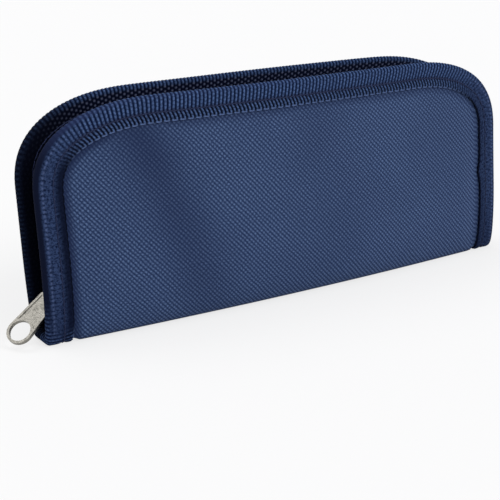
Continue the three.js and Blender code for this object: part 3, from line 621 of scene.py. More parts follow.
def grosgrain_tape():
    grain_pitch, dot_pitch = 1.35, 1.7
    seam_across = binding_width - stitch_inset + 0.4
    nose_across = binding_width - 1.1
    under_across = binding_width + 4.0
    # Painted shade colours: along the seam, by the stretched tape's seam and edge, at the foot, on the back
    # tape and on the inner leg in the fold; the worn nose colours are wear and painted shade together.
    rib_gap, hem_gap, rib_dye = dye(6, 19, 48), dye(4, 9, 28), dye(79, 103, 148)
    seam_shadow_dye, hem_loop_dye = dye(26, 25, 46), dye(96, 116, 160)
    flat_shadow, flat_dye, knot_dye = dye(9, 20, 46), dye(50, 66, 101), dye(88, 104, 144)
    flat_seam_shade, flat_hem_shade, tape_foot_shade_dye = dye(5, 10, 29), dye(3, 6, 20), dye(10, 18, 44)
    worn_shaded_rib, worn_shaded_flat = dye(40, 51, 88), dye(14, 20, 40)
    under_shadow, under_dye, back_shade_dye = dye(0, 6, 30), dye(94, 102, 130), dye(2, 4, 16)
    tape = Finish("grosgrain_tape", roughness=0.9, gloss=0.05)
    place, rib, across = tape.thread()
    slack = tape.mark("slack")

    def ridges(value, turn=math.pi):
        return tape.sum("ABSOLUTE", tape.sum("SINE", tape.times(value, turn)))

    def grains(pitch):
        return ridges(tape.sum("MULTIPLY_ADD", odd, 0.5, tape.sum("DIVIDE", across, pitch)))

    def along_line(middle, width):
        off = tape.sum("DIVIDE", tape.sum("SUBTRACT", across, middle), width)
        return tape.sum("EXPONENT", tape.times(tape.times(off, off), -1.0))

    wave = ridges(rib)
    odd = tape.sum("FLOORED_MODULO", tape.sum("FLOOR", rib), 2.0)
    stretched = tape.scaled(place, (3.0, 1.5, 1))
    fuzz = tape.noise(stretched, 1.0, 3.0, 0.65)
    bead = grains(grain_pitch)

    # The ribs where the tape lies loose: round crests, dark gaps, a painted shadow along the seam and the
    # hem's loops.
    beyond_seam = tape.spread(across, seam_across - 0.9, seam_across + 0.5, 1.0, 0.0)
    light = tape.sum("POWER", wave, tape.sum("ADD", beyond_seam, 2.8))
    light = tape.times(light, tape.spread(bead, 0.0, 1.0, 0.5, 1.05))
    light = tape.times(light, tape.spread(fuzz, 0.3, 0.7, 0.4, 1.35))
    ribbed = tape.mix(light, tape.mix(beyond_seam, rib_gap, hem_gap), rib_dye)
    # Painted shadow along the sunk seam line.
    ribbed = tape.mix(tape.times(along_line(seam_across + 0.2, 0.8), 0.45), ribbed, seam_shadow_dye)
    loop = tape.sum("POWER", ridges(rib, math.pi / 2), 1.2)
    loop = tape.times(tape.spread(across, 0.5, 1.2, 1.0, 0.0), loop)
    ribbed = tape.mix(tape.times(loop, 0.9), ribbed, hem_loop_dye)

    # The stretched tape up the ends: smeared yarn, painted shade along the sunk seam and along the edge by
    # the cover, deeper towards the left end, and a line of knots by the nose.
    clumps = tape.noise(stretched, 0.5, 2.0, 0.8)
    streaks = tape.sum("MULTIPLY_ADD", wave, 0.06, tape.times(clumps, 0.6))
    streaks = tape.sum("MULTIPLY_ADD", fuzz, 0.4, streaks)
    flat = tape.mix(tape.spread(streaks, 0.36, 0.68), flat_shadow, flat_dye)
    # Painted shade in the sunk seam and along the tape's edge by the cover, deeper towards the left end.
    sunk_seam_shade = tape.spread(across, seam_across - 2.0, seam_across + 0.6, 0.9, 0.0)
    flat = tape.mix(tape.times(sunk_seam_shade, tape.mark("seam_shade_strength")), flat, flat_seam_shade)
    flat = tape.mix(tape.spread(across, 0.6, 1.3, 0.95, 0.0), flat, flat_hem_shade)
    knots = tape.times(along_line(nose_across - 0.7, 0.36), tape.sum("POWER", wave, 2.0))
    flat = tape.mix(tape.times(knots, 0.55), flat, knot_dye)

    # Wear with painted shade on the nose, painted shade at the foot, the dotted inner leg painted dark as
    # the fold's shade, and painted shade over the back tape.
    yarn = tape.mix(slack, ribbed, flat)
    on_nose = tape.spread(across, nose_across - 0.3, nose_across + 0.8)
    # Wear smooths the front's left nose, and painted shade darkens it, most where the tape is stretched.
    worn_shaded = tape.mix(tape.mark("loose"), worn_shaded_rib, worn_shaded_flat)
    yarn = tape.mix(tape.times(on_nose, tape.mark("worn_and_shaded")), yarn, worn_shaded)
    # Painted shade, darker towards the foot.
    yarn = tape.mix(tape.times(tape.mark("low"), 0.42), yarn, tape_foot_shade_dye)
    dots = tape.times(tape.sum("POWER", grains(dot_pitch), 4.5), tape.sum("POWER", wave, 2.2))
    dots = tape.times(dots, tape.spread(slack, 0.0, 1.0, 1.0, 0.25))
    # The inner leg in the fold is painted dark as shade, with its yarn dots on it.
    under = tape.spread(across, under_across, under_across + 1.0)
    yarn = tape.mix(under, yarn, tape.mix(dots, under_shadow, under_dye))
    # Painted shade over the back leaf's tape, deepest at its left end.
    tape.colour(tape.mix(tape.mark("deep"), yarn, back_shade_dye))
    tape.relief(tape.sum("MULTIPLY_ADD", bead, 0.3, tape.times(fuzz, 0.5)), 0.14)
    return tape.material


def stitch_yarn():
    ply_turns, ply_lean = 14.0, 6.3
    yarn = Finish("stitch_yarn", roughness=0.75, gloss=0.2)
    _, along, across = yarn.thread()
    twist = yarn.waves(yarn.sum("MULTIPLY_ADD", along, ply_turns, yarn.times(across, ply_lean)))
    yarn.colour(yarn.mix(twist, dye(12, 20, 46), dye(46, 56, 92)))
    yarn.relief(twist, 0.06)
    return yarn.material


def round_rings(centre, beside, up, radius):
    """Round sections of a thread about the points of its middle line."""
    over, across = np.cos(around_thread)[:, None], np.sin(around_thread)[:, None]
    return centre[:, None] + radius * (beside[:, None] * over + up[:, None] * across)


def stitch_run(name, centre, normal, stitches):
    """A line of lockstitches along the points of a cloth: the thread lies on the cloth and dives
    into it at each hole. `stitches` is each point's place along the line, counted in stitches."""
    lie = np.abs(np.sin(math.pi * stitches)) ** stitch_flatness
    height = (lie - stitch_middle) * stitch_dive * stitch_radius
    beside = np.cross(steps_along(centre), normal)
    rings = round_rings(centre + height[:, None] * normal, beside, normal, stitch_radius)
    thread = flat_places(stitches[:, None] * stitch_pitch, around_thread / math.pi, 0.0)
    return make_piece(name, *swept_tube(rings), sewing_yarn, thread)


def leaf_stitches(name, side, x, climb, out, stitches):
    """Lockstitches on a cloth `out` from the leaf's middle surface, on the face away from it."""
    normal = np.sign(np.mean(out)) * (on_leaf(side, x, climb, 1) - on_leaf(side, x, climb, 0))
    return stitch_run(name, on_leaf(side, x, climb, out), normal, stitches)


section = binding_section()
across_tape = section[:, 0]
binding_tape = grosgrain_tape()
sewing_yarn = stitch_yarn()
for leaf, side in leaves.items():
    number, rim_place = rim_places(side, rib_line, rib_pitch, rib_phases)
    rib_x, rib_climb = rim_place(number, rib_line)
    crest = np.abs(np.sin(math.pi * number)) ** rib_fullness
    loops = np.abs(np.sin(math.pi * number / 2)) ** scallop_fullness
    at_hem = smooth_step(across_tape, binding_width - scallop_run, binding_width)
    wave = scallop * (loops[:, None] - 1) * at_hem
    kink = kink_depth * np.exp(-(((rib_climb - kink_height) / kink_length) ** 2))
    kink = kink * (rib_x > 0) * (side == FRONT)
    wave = wave + kink[:, None] * smooth_step(across_tape, stitch_inset, binding_width)
    loose = smooth_step(rib_climb, *at_end(rib_x, slack_feet))
    loose = loose * (1 - smooth_step(rib_climb, *at_end(rib_x, slack_tops)))
    sink = rib_depth * ((1 - crest) * (1 - slack_flattening * loose))[:, None] * section[:, 2]
    turned_in = np.sign(section[:, 1]) * np.minimum(1, np.abs(section[:, 1]) / half_edge)
    inset = across_tape + wave + sink * (1 - np.abs(turned_in)) * (across_tape < half_edge)
    lean = face_lean + face_lean_gain * np.clip(rib_x / lean_reach, -1, 1)
    leaning = number[:, None] - lean[:, None] * smooth_step(across_tape, lean_start, stitch_inset)
    leaning = leaning + hem_lean * smooth_step(across_tape, stitch_inset - lean_start, binding_width)
    x, climb = rim_place(leaning, inset)
    points, faces = swept_tube(on_leaf(side, x, climb, section[:, 1] - sink * turned_in))
    thread = flat_places(number[:, None], section[:, 3], binding_weave_apart * side)
    # The front's left nose: worn, and darkened by painted shade.
    worn_and_shaded = smooth_step(rib_climb, *worn_shade_foot) * (1 - smooth_step(rib_climb, *worn_shade_top))
    # Painted shade marks: the front's left nose (also worn), the back tape deepest at its left end, and the
    # seam, deeper towards the left end.
    rib_marks = {
        "worn_and_shaded": worn_and_shaded * (rib_x < 0) * (side == FRONT),
        "loose": loose,
        "deep": (back_shade_base + back_shade_gain * smooth_step(-rib_x, *back_shade_run)) * (side == BACK),
        "seam_shade_strength": seam_shade_base + seam_shade_gain * smooth_step(-rib_x, *seam_shade_run),
    }
    marks = {mark: np.repeat(values, len(section)) for mark, values in rib_marks.items()}
    marks["slack"] = loose[:, None] * smooth_step(across_tape, *slack_across)
    # Painted shade towards the foot of the tape.
    marks["low"] = 1 - smooth_step(climb, *tape_foot_shade_run)
    binding = make_piece(f"{leaf}_binding_tape", points, faces, binding_tape, thread, **marks)
    bend_at_spine(binding)
    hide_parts(f"{leaf}_binding", "left_spine_fold", "right_spine_fold")
    stitch, seam_place = rim_places(side, stitch_inset, stitch_pitch, np.arange(stitch_steps) / stitch_steps)
    x, climb = seam_place(stitch, stitch_inset)
    for face_name, face, width in (("outer", 1, binding_width), ("inner", -1, inner_width)):
        out = face * (half_edge - puff(stitch_inset, width))
        stitches = leaf_stitches(f"{leaf}_binding_stitches_{face_name}", side, x, climb, out, stitch)
        bend_at_spine(stitches)


# Front and back foam pads: closed-cell foam sheet cut to the panel's outline. It fills the leaf
# between its cover and its foil and is held in by the binding's seam.
foam_edge, foam_growth, layer_gap = 0.7, 2.2, 0.3
foam_rows, foam_columns = 46, 110
pad_foot = 9.8


def pad_foam():
    foam = Finish("pad_foam", roughness=0.95)
    place, _, _ = foam.thread()
    cells = foam.noise(place, 1.4, 4.0, 0.7)
    foam.colour(foam.mix(foam.spread(cells, 0.35, 0.65), dye(214, 214, 208), dye(238, 238, 232)))
    foam.relief(cells, 0.2)
    return foam.material


foam_material = pad_foam()
foam_climbs = np.linspace(climb_at(pad_foot), climb_at(case_height - pad_inset), foam_rows)
for leaf, side in leaves.items():
    x, climb = leaf_grid(foam_climbs, pad_inset, foam_columns)
    outer = cover_seat + cover_rise * swell(x, climb) - layer_gap
    inner = -foam_edge - foam_growth * swell(x, climb)
    thread = flat_places(x, climb, 0.0)
    foam = leaf_sheet(f"{leaf}_foam_pad", side, x, climb, outer, inner, foam_material, thread)
    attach(foam, f"{leaf}_leaf")
    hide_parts(f"{leaf}_foam")


# Front and back foil liners: metallised bubble film that faces the pen and keeps the cold in.
# Its round bubbles lie in staggered rows, and its flat rim goes under the binding.
bubble_pitch, bubble_radius, bubble_height = 5, 2.15, 0.9
bubble_squareness, bubble_fullness = 2.6, 0.6
film_thickness, film_rim_inset, film_rise_from = 0.4, 7, 10.6
film_lap, lap_thickness = 0.08, 0.12
foil_face_depth = layer_gap + film_thickness
bubble_margin, bubble_foot = (0.5, 2), (2.5, 4)
foil_rows, foil_columns = 92, 230
foil_weave_apart = 90.0


def bubble_at(x, climb):
    """Height of the bubbles, from 0 to 1."""
    row_pitch = bubble_pitch * math.sqrt(3) / 2
    row = np.round(climb / row_pitch)
    column = np.round(x / bubble_pitch - 0.5 * (row % 2)) + 0.5 * (row % 2)
    off = np.hypot(x - column * bubble_pitch, climb - row * row_pitch) / bubble_radius
    return np.clip(1 - off ** bubble_squareness, 0, 1) ** bubble_fullness


def foil_face(x, climb):
    """How far the foil's face lies in from the leaf's middle surface, on the pad."""
    return foam_edge + foam_growth * swell(x, climb) + foil_face_depth


def bubble_film():
    film = Finish("bubble_film", roughness=0.3, metal=0.92)
    place, _, _ = film.thread()
    crease = film.noise(place, 0.5, 4.0, 0.6)
    film.colour(film.mix(film.spread(crease, 0.35, 0.65), dye(196, 199, 203), dye(226, 228, 231)))
    film.feed(film.shader.inputs["Roughness"], film.spread(film.noise(place, 0.9, 3.0), 0.3, 0.7, 0.22, 0.4))
    film.relief(crease, 0.5)
    return film.material


foil_material = bubble_film()
foil_climbs = np.linspace(climb_at(pad_foot), climb_at(case_height - film_rim_inset), foil_rows)
for leaf, side in leaves.items():
    x, climb = leaf_grid(foil_climbs, film_rim_inset, foil_columns)
    distance = edge_distance(x, climb)
    on_pad = smooth_step(distance, film_rise_from, pad_inset)
    face = -film_lap - (foil_face_depth + foam_edge - film_lap) * on_pad - foam_growth * swell(x, climb)
    room = smooth_step(distance - pad_inset, *bubble_margin)
    room = room * smooth_step(climb - foil_climbs[0], *bubble_foot)
    inner = face - bubble_height * bubble_at(x, climb) * room
    outer = face + lap_thickness + (film_thickness - lap_thickness) * on_pad
    thread = flat_places(x, climb, foil_weave_apart * side)
    foil = leaf_sheet(f"{leaf}_bubble_foil", side, x, climb, outer, inner, foil_material, thread)
    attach(foil, f"{leaf}_leaf")
    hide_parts(f"{leaf}_foil_liner")


# Spine lining: a strip of navy nylon that lines the fold and laps over the lower edges of the
# two foils, each lap turned in and sewn.
strip_seat, strip_thickness, strip_clear = 0.3, 0.5, 0.15
strip_top, strip_under, strip_lap = 13.2, 9.5, (-2.2, 0.2)
strip_rows, strip_columns = 36, 150
hem_line, hem_fullness, hem_fold = 1.6, 0.7, (2.6, 2.2)
pucker_depth, pucker_lengths = 0.12, (1.7, 6.1)
lining_weave_apart = 40.0


def nylon_lining():
    yarn_pitch, yarn_repeat = 0.42, 0.84
    nylon = Finish("nylon_lining", roughness=0.62, sheen=0.15)
    place, along, across = nylon.thread()
    column = nylon.sum("DIVIDE", along, yarn_pitch)
    odd = nylon.sum("FLOORED_MODULO", nylon.sum("FLOOR", column), 2.0)
    row = nylon.sum("MULTIPLY_ADD", odd, 0.5, nylon.sum("DIVIDE", across, yarn_repeat))
    beside, ahead = (nylon.sum("SUBTRACT", nylon.sum("FRACT", count), 0.5) for count in (column, row))
    squares = nylon.sum("ADD", nylon.times(beside, beside), nylon.times(ahead, ahead))
    grain = nylon.sum("SQRT", nylon.sum("MAXIMUM", nylon.sum("MULTIPLY_ADD", squares, -4.0, 1.0), 0.0))
    fold = nylon.noise(place, 0.12, 3.0)
    yarn = nylon.mix(grain, dye(14, 20, 62), dye(44, 54, 112))
    nylon.colour(nylon.mix(nylon.spread(fold, 0.35, 0.7, 0.0, 0.35), yarn, dye(26, 34, 84)))
    nylon.relief(nylon.sum("MULTIPLY_ADD", fold, 2.5, grain), 0.12)
    return nylon.material


lining_nylon = nylon_lining()
hem_reach = half_length - pad_inset
hem_steps = stitch_steps * round(2 * hem_reach / stitch_pitch)
for leaf, side in leaves.items():
    x, climb = leaf_grid(climbs_from_fold(strip_top, strip_rows), strip_under, strip_columns)
    height = on_leaf(side, 0, climb, 0)[..., 2]
    lap = smooth_step(height - pad_foot, *strip_lap)
    swollen = foil_face(x, np.maximum(climb, climb_at(pad_foot)))
    under = strip_seat + (swollen + strip_clear - strip_seat) * lap
    pucker = pucker_depth * np.sin(x / pucker_lengths[0]) * np.sin(x / pucker_lengths[1] + side) * lap
    turned = smooth_step(height, strip_top - hem_fold[0], strip_top - hem_fold[1])
    turned = strip_thickness * (1 + hem_fullness * turned)
    inner = -under - turned - pucker
    thread = flat_places(x, climb, lining_weave_apart * side)
    strip = leaf_sheet(f"{leaf}_spine_lining", side, x, climb, -under, inner, lining_nylon, thread)
    bend_at_spine(strip)
    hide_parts("spine_lining")
    hem_x = np.linspace(-hem_reach, hem_reach, hem_steps + 1)
    hem_climb = np.full(hem_x.shape, climb_at(strip_top) - hem_line)
    hem_in = foil_face(hem_x, hem_climb) + strip_clear + (1 + hem_fullness) * strip_thickness
    stitch = np.arange(len(hem_x)) / stitch_steps
    hem = leaf_stitches(f"{leaf}_lining_stitches", side, hem_x, hem_climb, -hem_in, stitch)
    bend_at_spine(hem)


# Elastic strap: flat navy woven elastic that holds the pen against the back lining. Both ends
# are sewn down through the foil, and it stands off in a loop between them.
strap_width, strap_thickness, strap_middle = 22, 1.0, -30
strap_foot, strap_end, strap_seam, strap_bow = 17, 66, 5, 8
strap_draw, strap_rows, strap_columns = 0.9, 90, 45
strap_rib_pitch, strap_rib_depth, weft_pitch = 1.25, 0.1, 0.55
strap_edge_from, strap_edge_depth = 0.46, 0.35
seam_inset, seam_share, seam_swing = 2, 0.44, 0.9
seam_points, seam_point_steps = 57, 4


def woven_elastic():
    elastic = Finish("woven_elastic", roughness=0.75, sheen=0.15)
    _, along, across = elastic.thread()
    rib = elastic.waves(elastic.times(along, 2 * math.pi / strap_rib_pitch))
    weft = elastic.waves(elastic.times(across, 2 * math.pi / weft_pitch))
    light = elastic.times(rib, elastic.spread(weft, 0.0, 1.0, 0.55, 1.0))
    elastic.colour(elastic.mix(light, dye(12, 17, 52), dye(46, 55, 110)))
    elastic.relief(elastic.sum("MULTIPLY_ADD", weft, 0.3, rib), 0.25)
    return elastic.material


elastic_material = woven_elastic()
strap_heights = np.linspace(strap_foot, strap_end, strap_rows)
loop_share = (strap_heights - strap_foot - strap_seam) / (strap_end - strap_foot - 2 * strap_seam)
stand_off = np.sin(math.pi * np.clip(loop_share, 0, 1)) ** 2
strap_shares = np.linspace(-0.5, 0.5, strap_columns)
strap_x = strap_middle + strap_width * strap_shares * (1 - strap_draw / strap_width * stand_off[:, None])
strap_climb = np.repeat(climb_at(strap_heights)[:, None], strap_columns, axis=1)
strap_back = foil_face(np.full(strap_rows, strap_middle), strap_climb[:, 0]) + bubble_height + layer_gap
strap_back = (strap_back + strap_bow * stand_off)[:, None]
cord_ribs = strap_rib_depth * np.abs(np.sin(math.pi * strap_shares * strap_width / strap_rib_pitch))
edge_soft = strap_edge_depth * smooth_step(np.abs(strap_shares), strap_edge_from, 0.5)
outer = -strap_back - edge_soft
inner = -strap_back - strap_thickness + cord_ribs + edge_soft
thread = flat_places(strap_shares * strap_width, strap_climb, strap_climb)
strap = leaf_sheet("elastic_pen_strap", BACK, strap_x, strap_climb, outer, inner, elastic_material, thread)
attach(strap, "back_leaf")
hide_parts("elastic_strap")
seam_stitch = np.arange(seam_points) / seam_point_steps
for seam_name, seam_height in (("lower", strap_foot + seam_inset), ("upper", strap_end - seam_inset)):
    seam_x = strap_middle + np.linspace(-seam_share, seam_share, seam_points) * strap_width
    zigzag = seam_swing * np.abs(seam_stitch % 2 - 1) * 2 - seam_swing
    seam_climb = climb_at(seam_height + zigzag)
    seam_in = np.interp(seam_height, strap_heights, strap_back[:, 0]) + strap_thickness
    seam = leaf_stitches(f"strap_stitches_{seam_name}", BACK, seam_x, seam_climb, -seam_in, seam_stitch)
    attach(seam, "back_leaf")


# Zip tapes: herringbone polyester tape, sewn under the binding's inner leg and turned in to carry
# the coil between the leaves.
zip_foot, zip_end_inset, zip_top_inset = 12.5, 15.5, 10.5
zip_corner_across, zip_corner_down = 40, 22
zip_tape_thickness = 0.5
coil_edge = 1.9
sewn_insets = (3, 6, inner_width + layer_gap)
flat_tape = 5.6
# How far across the tape its three sewn lines, its flat run and its coil edge are.
tape_reach = np.array([0, 3, 5.8, 10.5, 14])
tape_seat = -(half_edge - tape_thickness - layer_gap - zip_tape_thickness / 2)
mesh_start, parting_length, parting_width = 24, 7, 1.9
chain_steps, chain_points, tape_columns = (100, 160, 120), 700, 22


def evened(line, count):
    """The line's points set evenly, and how far along it each is."""
    length = length_along(line)
    even = np.linspace(0, length[-1], count)
    return np.stack(places_along(line, length, even), -1), even


zip_half = half_length - zip_end_inset
zip_crown = case_height - zip_top_inset
chain = arched_line(zip_foot, zip_half, zip_crown, zip_corner_across, zip_corner_down, chain_steps)
chain, chain_length = evened(chain, chain_points)


def parting(at):
    """How far each row of teeth stands off the middle below the slider."""
    x, z = places_along(chain, chain_length, at)
    return np.where(x < 0, parting_width * np.clip((mesh_start - z) / parting_length, 0, 1), 0)


def in_zip(side, at, far, deep):
    """Points `at` along the chain: `far` from the middle plane, `deep` towards the case's inside."""
    _, height = places_along(chain, chain_length, at)
    x, z = places_along(chain, chain_length, at, deep)
    return np.stack([x, lean_slope * (height - spine_height) + side * far, z], -1)


def rest_with_spine(piece):
    """Bakes the zip piece's placement into its points."""
    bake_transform(piece)


def herringbone_tape():
    column_width, twill_pitch = 2.4, 0.7
    tape = Finish("herringbone_tape", roughness=0.85, sheen=0.1)
    _, along, across = tape.thread()
    column = tape.sum("FRACT", tape.sum("DIVIDE", across, column_width))
    slant = tape.sum("ABSOLUTE", tape.sum("SUBTRACT", column, 0.5))
    twill = tape.sum("MULTIPLY_ADD", slant, column_width, along)
    light = tape.waves(tape.times(twill, 2 * math.pi / twill_pitch))
    tape.colour(tape.mix(light, dye(9, 13, 34), dye(40, 50, 88)))
    tape.relief(light, 0.12)
    return tape.material


def turning_points(total, straight, top_half):
    """Where along an arched line its ends and its corners stop and start."""
    return [0, straight, total / 2 - top_half, total / 2 + top_half, total - straight, total]


zip_tape_material = herringbone_tape()
rim_left = np.argmax(rim[:, 1] >= climb_at(zip_foot))
sewn_rim = rim[rim_left:len(rim) - rim_left]
rim_length = length_along(sewn_rim)
at_rim = np.interp(
    chain_length,
    turning_points(chain_length[-1], zip_crown - zip_corner_down - zip_foot, zip_half - zip_corner_across),
    turning_points(rim_length[-1], case_height - corner_down - zip_foot, half_length - corner_across),
)
tape_across = np.linspace(0, tape_reach[-1], tape_columns)
# A smooth curve through five knots carries each row of the tape across.
span = np.clip(np.searchsorted(tape_reach, tape_across, side="right") - 1, 0, len(tape_reach) - 2)
run = np.diff(tape_reach)[span, None]
t = (tape_across - tape_reach[span])[:, None] / run
ease, leaving, arriving = 3 * t ** 2 - 2 * t ** 3, run * t * (1 - t) ** 2, run * t ** 2 * (t - 1)
sewn_places = [places_along(sewn_rim, rim_length, at_rim, inset) for inset in sewn_insets]
from_middle = (flat_tape, coil_edge + layer_gap + parting(chain_length))
for leaf, side in leaves.items():
    knots = [on_leaf(side, *place, tape_seat) for place in sewn_places]
    knots = np.stack(knots + [in_zip(side, chain_length, far, 0) for far in from_middle], 1)
    slopes = np.gradient(knots, tape_reach, axis=1)
    surface = (1 - ease) * knots[:, span] + ease * knots[:, span + 1]
    surface += leaving * slopes[:, span] + arriving * slopes[:, span + 1]
    normal = np.cross(np.gradient(surface, axis=0), np.gradient(surface, axis=1))
    normal /= np.linalg.norm(normal, axis=2)[..., None]
    half = zip_tape_thickness / 2
    points, faces = grid_sheet(surface + half * normal, surface - half * normal)
    thread = flat_places(chain_length[:, None], tape_across, 0.0)
    zip_tape = make_piece(f"{leaf}_zip_cloth", points, faces, zip_tape_material, thread)
    rest_with_spine(zip_tape)
    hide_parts(f"{leaf}_zip_tape")


# Zip coils: a nylon thread wound into a flat spiral along each tape's edge, with its turns
# pressed into heads that hook between those of the other row.
coil_pitch, coil_wire = 1.4, 0.29
coil_reach, coil_height = 0.7, 0.66
coil_squareness, head_fatness = 0.7, 0.35
turn_steps = 14


def coil_nylon():
    nylon = Finish("coil_nylon", roughness=0.42)
    place, _, _ = nylon.thread()
    shade = nylon.noise(place, 0.8, 2.0)
    nylon.colour(nylon.mix(nylon.spread(shade, 0.3, 0.7), dye(12, 17, 38), dye(34, 42, 74)))
    nylon.relief(shade, 0.05)
    return nylon.material


def spiral(side, line_at, length, start):
    """Rings of the coil's thread; line_at gives a point for a length, a far and a deep."""
    turns = np.arange(int((length - start) / coil_pitch) * turn_steps) / turn_steps
    angle = 2 * math.pi * turns
    at = start + coil_pitch * turns
    middle, half = (coil_edge - coil_reach) / 2, (coil_edge + coil_reach) / 2 - coil_wire
    squared = np.sign(np.cos(angle)) * np.abs(np.cos(angle)) ** coil_squareness
    far = middle + half * squared
    deep = coil_height * np.sin(angle)
    centre = line_at(at, far, deep)
    step = steps_along(centre)
    outward = line_at(at, far + np.cos(angle), deep + np.sin(angle)) - centre
    outward -= np.einsum("ij,ij->i", outward, step)[:, None] * step
    outward /= np.linalg.norm(outward, axis=1)[:, None]
    fat = coil_wire * (1 + head_fatness * np.clip(-np.cos(angle), 0, 1))[:, None, None]
    rings = round_rings(centre, outward, np.cross(step, outward), fat)
    return rings, flat_places(at[:, None], around_thread, 1.0 * side)


coil_material = coil_nylon()
for leaf, side in leaves.items():
    def along_chain(at, far, deep):
        return in_zip(side, at, far + parting(at), deep)
    start = coil_pitch / 2 if side == FRONT else coil_pitch
    rings, thread = spiral(side, along_chain, chain_length[-1], start)
    coil = make_piece(f"{leaf}_zip_spiral", *swept_tube(rings), coil_material, thread)
    rest_with_spine(coil)
    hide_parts(f"{leaf}_zip_coil")


# Zip tail: the last stretch of the zip past its bottom stop, bent down and laid along the spine
# with its coil still on it.
tail_bend, tail_half, tail_tape = 3, 4, 0.3
tail_coil_start, tail_coil_flatness, tail_coil_lift = 0.5, 0.75, 0.2
tail_weave_shift = 20
bend_points, lying_points, tail_points, tail_columns = 12, 15, 60, 17
tab_low, tab_high = (corner / MM - Vector(case_shift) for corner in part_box("zip_end_tab"))
tail_low, tail_high = (corner / MM - Vector(case_shift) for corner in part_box("zip_tail"))
tail_middle = (tail_low.y + tail_high.y) / 2
tail_floor = (tab_low.z + tab_high.z) / 2
bend_turns = np.linspace(0, quarter_turn, bend_points)
lying_x = np.linspace(tail_low.x, zip_half - tail_bend, lying_points, endpoint=False)[::-1]
tail_line = np.concatenate([
    [[zip_half, tail_high.z]],
    np.stack([
        zip_half - tail_bend * (1 - np.cos(bend_turns)),
        tail_floor + tail_bend * (1 - np.sin(bend_turns)),
    ], -1),
    np.stack([lying_x, np.full(lying_points, tail_floor)], -1),
])
tail_line, tail_length = evened(tail_line, tail_points)


def on_tail(at, across, up):
    """Points on the tail: `at` along it, `across` the case, `up` off its tape."""
    x, z = places_along(tail_line, tail_length, at, up)
    return np.stack(np.broadcast_arrays(x, tail_middle + across, z), -1)


across = np.linspace(-tail_half, tail_half, tail_columns)
points, faces = grid_sheet(*(on_tail(tail_length[:, None], across, up) for up in (tail_tape, -tail_tape)))
thread = flat_places(tail_length[:, None], across + tail_weave_shift, 0.0)
tail_cloth = make_piece("zip_tail_cloth", points, faces, zip_tape_material, thread)
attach(tail_cloth, "spine")
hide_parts("zip_tail")
for leaf, side in leaves.items():
    def along_tail(at, far, deep):
        return on_tail(at, side * far, deep * tail_coil_flatness + tail_tape * tail_coil_lift)
    start = tail_coil_start if side == FRONT else tail_coil_start + coil_pitch / 2
    rings, thread = spiral(side, along_tail, tail_length[-1] - tail_coil_start, start)
    tail_coil = make_piece(f"zip_tail_spiral_{leaf}", *swept_tube(rings), coil_material, thread)
    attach(tail_coil, "spine")


# Zip end tab: a short strip of the lining nylon folded over the tail's end and sewn across, so
# that the zip doesn't pull out. It lies on the spine lining.
tab_wall, tab_crown, tab_fullness, tab_drop = 0.7, 0.25, 4, 0.25
tab_seam_inset, tab_seam_sink, tab_seam_width = 3.5, 0.5, 1.3
tab_seam_margin, tab_seam_stitches = 0.8, 3
tab_weave_apart = 7.0
tab_points, fold_points, tab_columns = 14, 13, 15
tab_mouth, tab_roof = tab_high.x, tab_high.z
fold_turns = np.linspace(-quarter_turn, quarter_turn, fold_points)
fold_half = (tab_roof - tab_low.z) / 2
fold_middle = tab_low.z + fold_half
fold_end = tab_low.x + fold_half


def tab_fold(wall):
    """The folded strip's profile, `wall` in from its outside, from its lower end to its upper."""
    radius = fold_half - wall
    flat = np.linspace(tab_mouth, fold_end, tab_points)[:-1]
    lower = [(x, fold_middle - radius) for x in flat]
    bend = [(fold_end - radius * math.cos(a), fold_middle + radius * math.sin(a)) for a in fold_turns]
    upper = [(x, fold_middle + radius) for x in flat[::-1]]
    return np.array(lower + bend + upper)


tab_sides = np.linspace(tab_low.y, tab_high.y, tab_columns)
tab_outside, tab_inside = tab_fold(0), tab_fold(tab_wall)
sewn_off = (tab_outside[:, 0] - tab_mouth + tab_seam_inset) / tab_seam_width
sewn = tab_seam_sink * np.exp(-(sewn_off ** 2))
side_share = (2 * tab_sides - tab_low.y - tab_high.y) / (tab_high.y - tab_low.y)
crown = tab_crown * (1 - side_share ** tab_fullness)
on_top = tab_outside[:, 1, None] > fold_middle


def tab_grid(profile):
    """The strip's points from side to side, drawn down on top by its seam."""
    height = profile[:, 1, None] + on_top * (crown - tab_drop - sewn[:, None])
    return np.stack(np.broadcast_arrays(profile[:, 0, None], tab_sides, height), -1)


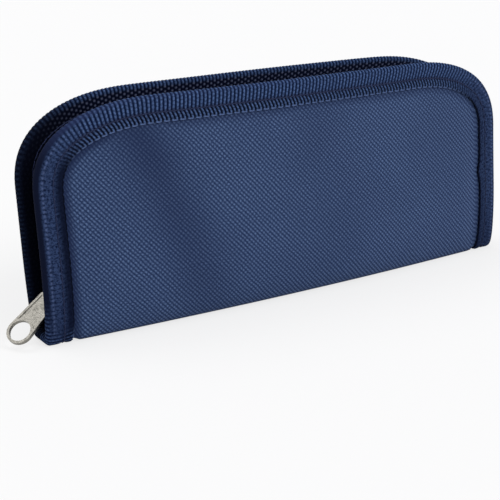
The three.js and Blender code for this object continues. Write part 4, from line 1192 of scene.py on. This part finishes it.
points, faces = grid_sheet(tab_grid(tab_outside), tab_grid(tab_inside))
thread = flat_places(length_along(tab_outside)[:, None], tab_sides, tab_weave_apart)
tab = make_piece("zip_end_fabric_tab", points, faces, lining_nylon, thread)
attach(tab, "spine")
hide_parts("zip_end_tab")
seam_count = stitch_steps * tab_seam_stitches + 1
seam_y = np.linspace(tab_low.y + tab_seam_margin, tab_high.y - tab_seam_margin, seam_count)
seam_line = np.stack(np.broadcast_arrays(tab_mouth - tab_seam_inset, seam_y, tab_roof - tab_seam_sink), -1)
seam_up = np.tile([0, 0, 1.0], (seam_count, 1))
seam_stitch = np.arange(seam_count) / stitch_steps
tab_seam = stitch_run("zip_end_tab_stitches", seam_line, seam_up, seam_stitch)
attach(tab_seam, "spine")


# Slider, pull and stops: zinc castings and crimped strip with a warm nickel plate, tumbled, so
# that their edges are soft and their faces finely dented.
edge_soft_width, edge_soft_steps = 0.22, 3
edge_angle, flat_angle = math.radians(32), math.radians(1)
weld_reach = 0.002


def tumbled_nickel():
    nickel = Finish("tumbled_nickel", roughness=0.33, metal=1.0)
    place = nickel.scaled(nickel.node("TexCoord").outputs["Object"], [1 / MM] * 3)
    dents = nickel.noise(place, 0.55, 3.0, 0.6)
    pits = nickel.noise(place, 2.4, 2.0, 0.6)
    tarnish = nickel.spread(nickel.noise(place, 0.6, 2.0, 0.55), 0.48, 0.66)
    plate = nickel.mix(nickel.spread(pits, 0.35, 0.65), dye(120, 118, 111), dye(144, 141, 134))
    nickel.colour(nickel.mix(nickel.times(tarnish, 0.5), plate, dye(88, 87, 82)))
    nickel.feed(nickel.shader.inputs["Roughness"], nickel.spread(pits, 0.3, 0.7, 0.27, 0.42))
    nickel.relief(nickel.sum("MULTIPLY_ADD", dents, 2.0, pits), 0.12)
    return nickel.material


nickel_plate = tumbled_nickel()
for node_name in ("slider_body", "pull_tab", "front_top_stop", "back_top_stop", "zip_bottom_stop"):
    casting = frame["nodes"][node_name]
    casting.data.materials.clear()
    casting.data.materials.append(nickel_plate)
    weld = casting.modifiers.new("joined", "WELD")
    weld.merge_threshold = weld_reach * MM
    flat_faces = casting.modifiers.new("flat_faces", "DECIMATE")
    flat_faces.decimate_type = "DISSOLVE"
    flat_faces.angle_limit = flat_angle
    softened = casting.modifiers.new("softened", "BEVEL")
    softened.width = edge_soft_width * MM
    softened.segments = edge_soft_steps
    softened.limit_method = "ANGLE"
    softened.angle_limit = edge_angle
